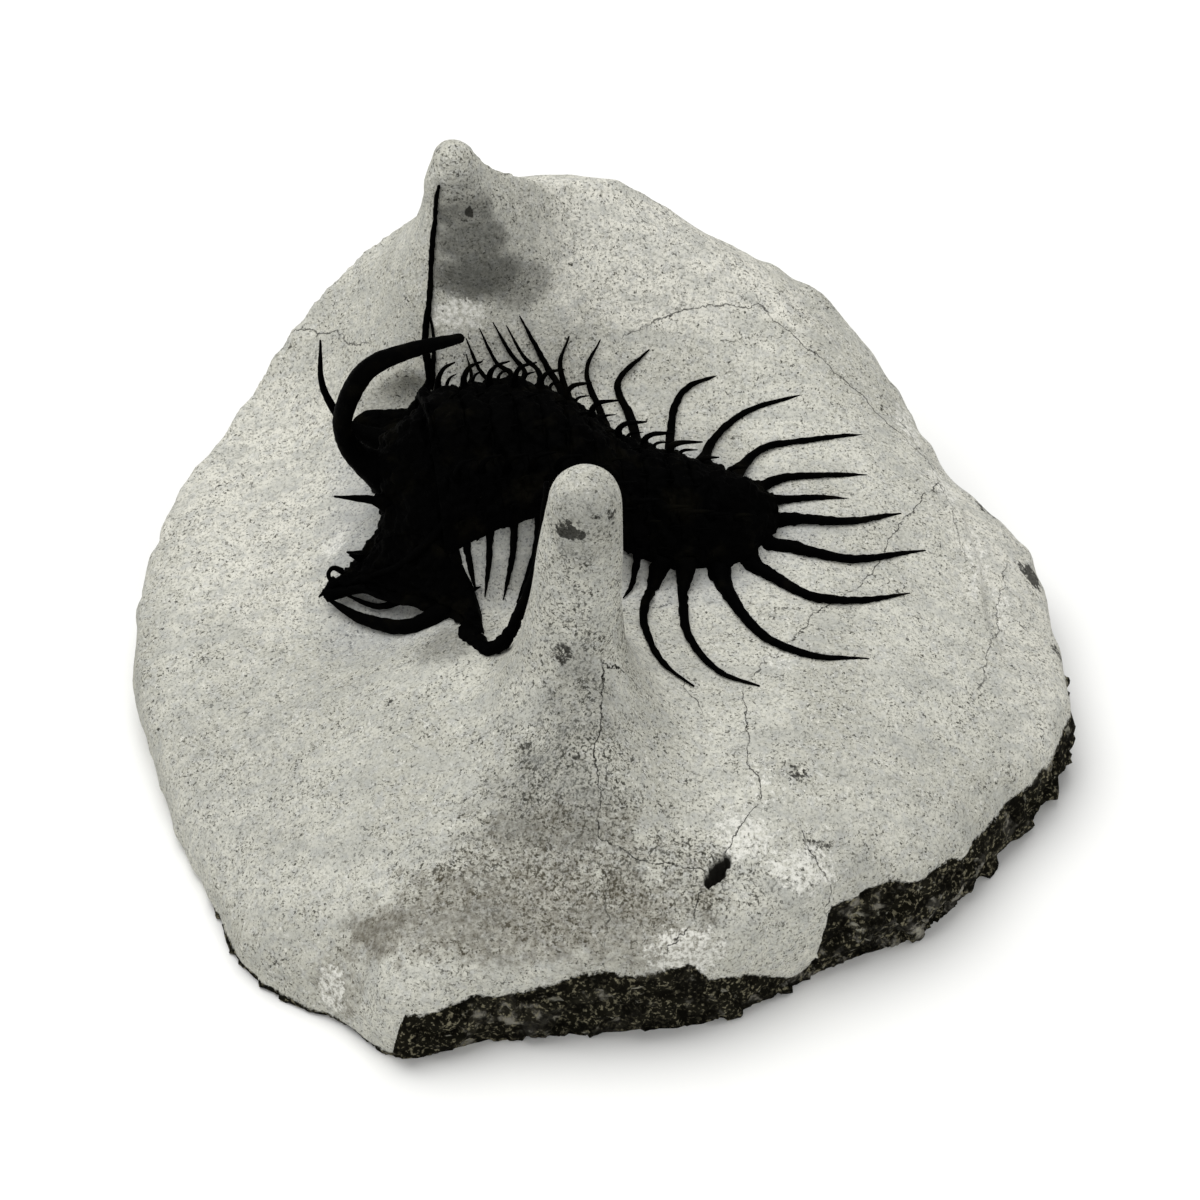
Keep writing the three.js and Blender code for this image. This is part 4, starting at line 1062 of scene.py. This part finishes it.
def head_plate(low, high, columns, seed, rows=120):
    """A plate of the head shield between two values of s, with its lobes, furrows, eye and rolled edge."""
    v = np.linspace(0, 1, rows)[:, None]
    s = np.linspace(low, high, columns)[None, :]
    grid = net_point(s, v)
    normals = grid_normals(grid, HEAD_HEART)
    side = np.abs(s)
    # the middle lobe, the furrow beside it and its three pairs of swellings
    lobe = 0.6 * np.exp(-((s / 0.17) ** 4)) * smooth((v - 0.12) / 0.1) * smooth((0.95 - v) / 0.15)
    furrow = -0.5 * bell(side, 0.3, 0.035) * smooth((1.0 - v) / 0.1)
    swellings = sum(0.7 * bell(side, 0.23, 0.05) * bell(v, place, 0.06) for place in (0.25, 0.42, 0.58))
    # the ring at the back of the head, and each eye in its hollow
    ring = (0.5 * bell(v, 0.045, 0.04) - 0.5 * bell(v, 0.12, 0.03)) * (side < SUTURE)
    eye = 1.1 * bell(side, 0.42, 0.07) * bell(v, 0.36, 0.11)
    hollow = -0.35 * bell(side, 0.42, 0.12) * bell(v, 0.36, 0.2)
    # the rolled edge and the groove inside it, at the cheeks and in front
    cheek_edge = 0.35 * smooth((side - 0.93) / 0.04) - 0.35 * bell(side, 0.9, 0.03)
    front_edge = 0.3 * smooth((v - 0.93) / 0.03) - 0.35 * bell(v, 0.9, 0.025)
    lift = lobe + furrow + swellings + ring + eye + hollow + cheek_edge + front_edge
    raised = grid + normals * lift[..., None]
    return raised_sheet(raised, HEAD_HEART, seed, grid - normals * 0.9)


def build_head(settings, material):
    """The middle of the head shield with its horn, and the two free cheeks with their spines."""
    parts = [head_plate(-SUTURE, SUTURE, 190, 400)]
    parts.append(tube(HORN, [2.4, 1.35, 1.0, 1.12, 1.18, 1.02, 0.84, 0.55], 24, 80, 0.07, 401))
    for side in (NEAR, FAR):
        parts.append(tube(EYE_SPINES[side], [1.5, 0.5, 0.36, 0.12], 10, 30, 0.15, 402))
    for k, ridge in enumerate(HEAD_RIDGES):
        route = [net_point(s, v) for s, v in ridge]
        parts.append(tube(route, [0.5, 0.55, 0.5, 0.3], 8, 40, 0.2, 405 + k))
    middle = mesh_piece("head_shield", parts, material, "cranidium")
    cheeks = ((NEAR, "free_cheek_near", "librigena_near"), (FAR, "free_cheek_far", "librigena_far"))
    for side, name, node in cheeks:
        low, high = sorted((side * SUTURE, side))
        parts = [head_plate(low, high, 100, 410 + 5 * side)]
        if side == NEAR:
            parts += [tube(*band, 12, 50, 0.1, 420 + k) for k, band in enumerate(CHEEK_BANDS)]
            parts += [tube(*spine, 8, 20, 0.1, 425 + k) for k, spine in enumerate(EDGE_SPINES)]
            radii = [1.3, 1.0, 0.8, 0.72, 0.6, 0.52, 0.42, 0.36, 0.34, 0.32, 0.3, 0.26]
        else:
            rim = [net_point(1, place) for place in HEAD_V]
            parts.append(tube(rim, [0.9, 0.8, 0.7, 0.5], 12, 50, 0.1, 421))
            parts.append(tube(CHEEK_STRAND, [0.3, 0.28, 0.2, 0.1], 8, 40, 0.3, 428, 0.0))
            radii = [0.9, 0.6, 0.5, 0.42, 0.36, 0.34, 0.32, 0.3, 0.26, 0.22]
        radii = np.array(radii) * settings.spine_thickness
        parts.append(tube(CHEEK_SPINES[side], radii, 12, 110, 0.3, 430, 0.0))
        cheek = mesh_piece(name, parts, material, node)


# ------------------------------------------------------------------ stage

# Half the floor's side, the place the lamps point at and how far off they are, and the place the camera
# looks at, all in metres.
FLOOR_REACH = 3.0
LAMP_AIM, LAMP_DISTANCE = Vector((0, 0, 0.02)), 0.68
CAMERA_AIM = Vector((0, 0, 0.018))


def build_stage(settings):
    """The floor, the soft studio light and the camera."""
    scene = bpy.context.scene
    low = CAD_BOX[0][2]
    corners = [(x * FLOOR_REACH, y * FLOOR_REACH, low) for x, y in ((-1, -1), (1, -1), (1, 1), (-1, 1))]
    mesh = bpy.data.meshes.new("floor")
    mesh.from_pydata(corners, [], [(0, 1, 2, 3)])
    floor = bpy.data.objects.new("floor", mesh)
    scene.collection.objects.link(floor)
    # background paper: matt and nearly white, so that it shows no more than a soft shadow
    material, add = new_material("background_paper_matt")
    finish_material(add, Base_Color=(*settings.floor_colour, 1), Roughness=0.9, Specular_IOR_Level=0.1)
    mesh.materials.append(material)

    world = bpy.data.worlds.new("studio_surround")
    scene.world = world
    world.use_nodes = True
    surround = world.node_tree.nodes["Background"].inputs
    surround["Color"].default_value = linear("#ffffff")
    surround["Strength"].default_value = settings.surround

    for name, towards, size, power in (
            ("key_overhead", Vector((-0.20, 0.14, 0.96)), 0.66, settings.key_power),
            ("fill_front", Vector((0.25, -0.90, 0.35)), 0.50, settings.fill_power)):
        light = bpy.data.lights.new(name, "AREA")
        light.shape = "DISK"
        light.size = size
        light.energy = power
        lamp = bpy.data.objects.new(name, light)
        lamp.location = LAMP_AIM + towards * LAMP_DISTANCE
        lamp.rotation_euler = (-towards).to_track_quat("-Z", "Y").to_euler()
        scene.collection.objects.link(lamp)

    camera = bpy.data.cameras.new("camera")
    camera.sensor_width = 36
    camera.lens = settings.lens
    camera.clip_start = 0.01
    eye = bpy.data.objects.new("camera", camera)
    rise = settings.elevation
    eye.location = CAMERA_AIM + Vector((0, -math.cos(rise), math.sin(rise))) * settings.distance
    eye.rotation_euler = (CAMERA_AIM - eye.location).to_track_quat("-Z", "Y").to_euler()
    scene.collection.objects.link(eye)
    scene.camera = eye
    scene.view_settings.view_transform = "Standard"


# ------------------------------------------------------------------ add-on

def number(name, description, default, **options):
    """A setting that is one number."""
    return bpy.props.FloatProperty(name=name, description=description, default=default, **options)


def shade(name, description, default):
    """A setting that is a colour, with its default as an sRGB hex string."""
    return bpy.props.FloatVectorProperty(
        name=name, description=description, default=linear(default)[:3],
        subtype="COLOR", size=3, min=0, max=1)


class FossilSettings(bpy.types.PropertyGroup):
    rock_step: number("Rock grid", "Spacing of the rock's surface grid", 0.5 * MM, unit="LENGTH")
    crust_relief: number("Crust relief", "How broken the dark sides are", 1.0, max=2, subtype="FACTOR")
    spine_thickness: number("Spine thickness", "Width of the spines", 1.0, max=2, subtype="FACTOR")
    rock_pale: shade("Pale stone", "The palest of the abraded stone", "#cdccc1")
    rock_grey: shade("Grey stone", "The greyest of the abraded stone", "#b5b4a9")
    rock_broken: shade("Broken stone", "The fresh dark stone of the broken sides", "#15140e")
    shell_colour: shade("Shell", "The black of the calcite shell", "#010101")
    floor_colour: shade("Floor", "The paper under the fossil", "#f4f4f2")
    surround: number("Surround", "Strength of the white surround", 0.54, min=0, max=5, subtype="FACTOR")
    key_power: number("Key light", "Power of the overhead light", 3.9, min=0, unit="POWER")
    fill_power: number("Fill light", "Power of the front light", 0.7, min=0, unit="POWER")
    elevation: number("Camera elevation", "Angle above the floor", math.radians(45), subtype="ANGLE")
    distance: number("Camera distance", "From the middle of the block", 0.5, min=0.1, unit="LENGTH")
    lens: number("Lens", "Focal length of the camera", 136.4, min=10, unit="CAMERA")


def finished(*names):
    """What an operator gives back once its pieces are built. If one is missing, it raises an error."""
    missing = [name for name in names if name not in bpy.data.objects]
    if missing:
        raise RuntimeError("not built: " + ", ".join(missing))
    return {"FINISHED"}


def shell_material(context):
    """The material that all pieces of the animal share."""
    return bpy.data.materials.get("calcite_shell_black") or calcite_shell(context.scene.fossil)


class FOSSIL_OT_matrix(bpy.types.Operator):
    """Builds the limestone block with its two pillars"""
    bl_idname = "fossil.matrix"
    bl_label = "Limestone block"

    def execute(self, context):
        build_rock(context.scene.fossil)
        return finished("limestone_block")


class FOSSIL_OT_head(bpy.types.Operator):
    """Builds the head shield, its horn and the two free cheeks"""
    bl_idname = "fossil.head"
    bl_label = "Head shield"

    def execute(self, context):
        build_head(context.scene.fossil, shell_material(context))
        return finished("head_shield", "free_cheek_near", "free_cheek_far")


class FOSSIL_OT_thorax(bpy.types.Operator):
    """Builds the ten thoracic segments"""
    bl_idname = "fossil.thorax"
    bl_label = "Thorax segments"

    def execute(self, context):
        build_thorax(context.scene.fossil, shell_material(context))
        return finished(*[f"thorax_shell_{k + 1:02d}" for k in range(SEGMENTS)])


class FOSSIL_OT_tail(bpy.types.Operator):
    """Builds the tail shield and its spines"""
    bl_idname = "fossil.tail"
    bl_label = "Tail shield"

    def execute(self, context):
        build_pygidium(context.scene.fossil, shell_material(context))
        return finished("tail_shield")


class FOSSIL_OT_stage(bpy.types.Operator):
    """Builds the floor, the lights and the camera"""
    bl_idname = "fossil.stage"
    bl_label = "Stage"

    def execute(self, context):
        build_stage(context.scene.fossil)
        return finished("floor", "camera")


class FOSSIL_PT_panel(bpy.types.Panel):
    """Lists the fossil's operators and settings"""
    bl_idname = "FOSSIL_PT_panel"
    bl_label = "Fossil"
    bl_space_type = "VIEW_3D"
    bl_region_type = "UI"
    bl_category = "Fossil"

    def draw(self, context):
        for operator in OPERATORS:
            self.layout.operator(operator.bl_idname)
        for name in FossilSettings.__annotations__:
            self.layout.prop(context.scene.fossil, name)


OPERATORS = (FOSSIL_OT_matrix, FOSSIL_OT_head, FOSSIL_OT_thorax, FOSSIL_OT_tail, FOSSIL_OT_stage)
CLASSES = (FossilSettings,) + OPERATORS + (FOSSIL_PT_panel,)


def register():
    for cls in CLASSES:
        bpy.utils.register_class(cls)
    bpy.types.Scene.fossil = bpy.props.PointerProperty(type=FossilSettings)


def unregister():
    del bpy.types.Scene.fossil
    for cls in reversed(CLASSES):
        bpy.utils.unregister_class(cls)


def main():
    register()
    bpy.ops.fossil.matrix()
    bpy.ops.fossil.head()
    bpy.ops.fossil.thorax()
    bpy.ops.fossil.tail()
    bpy.ops.fossil.stage()


if __name__ == "__main__":
    main()
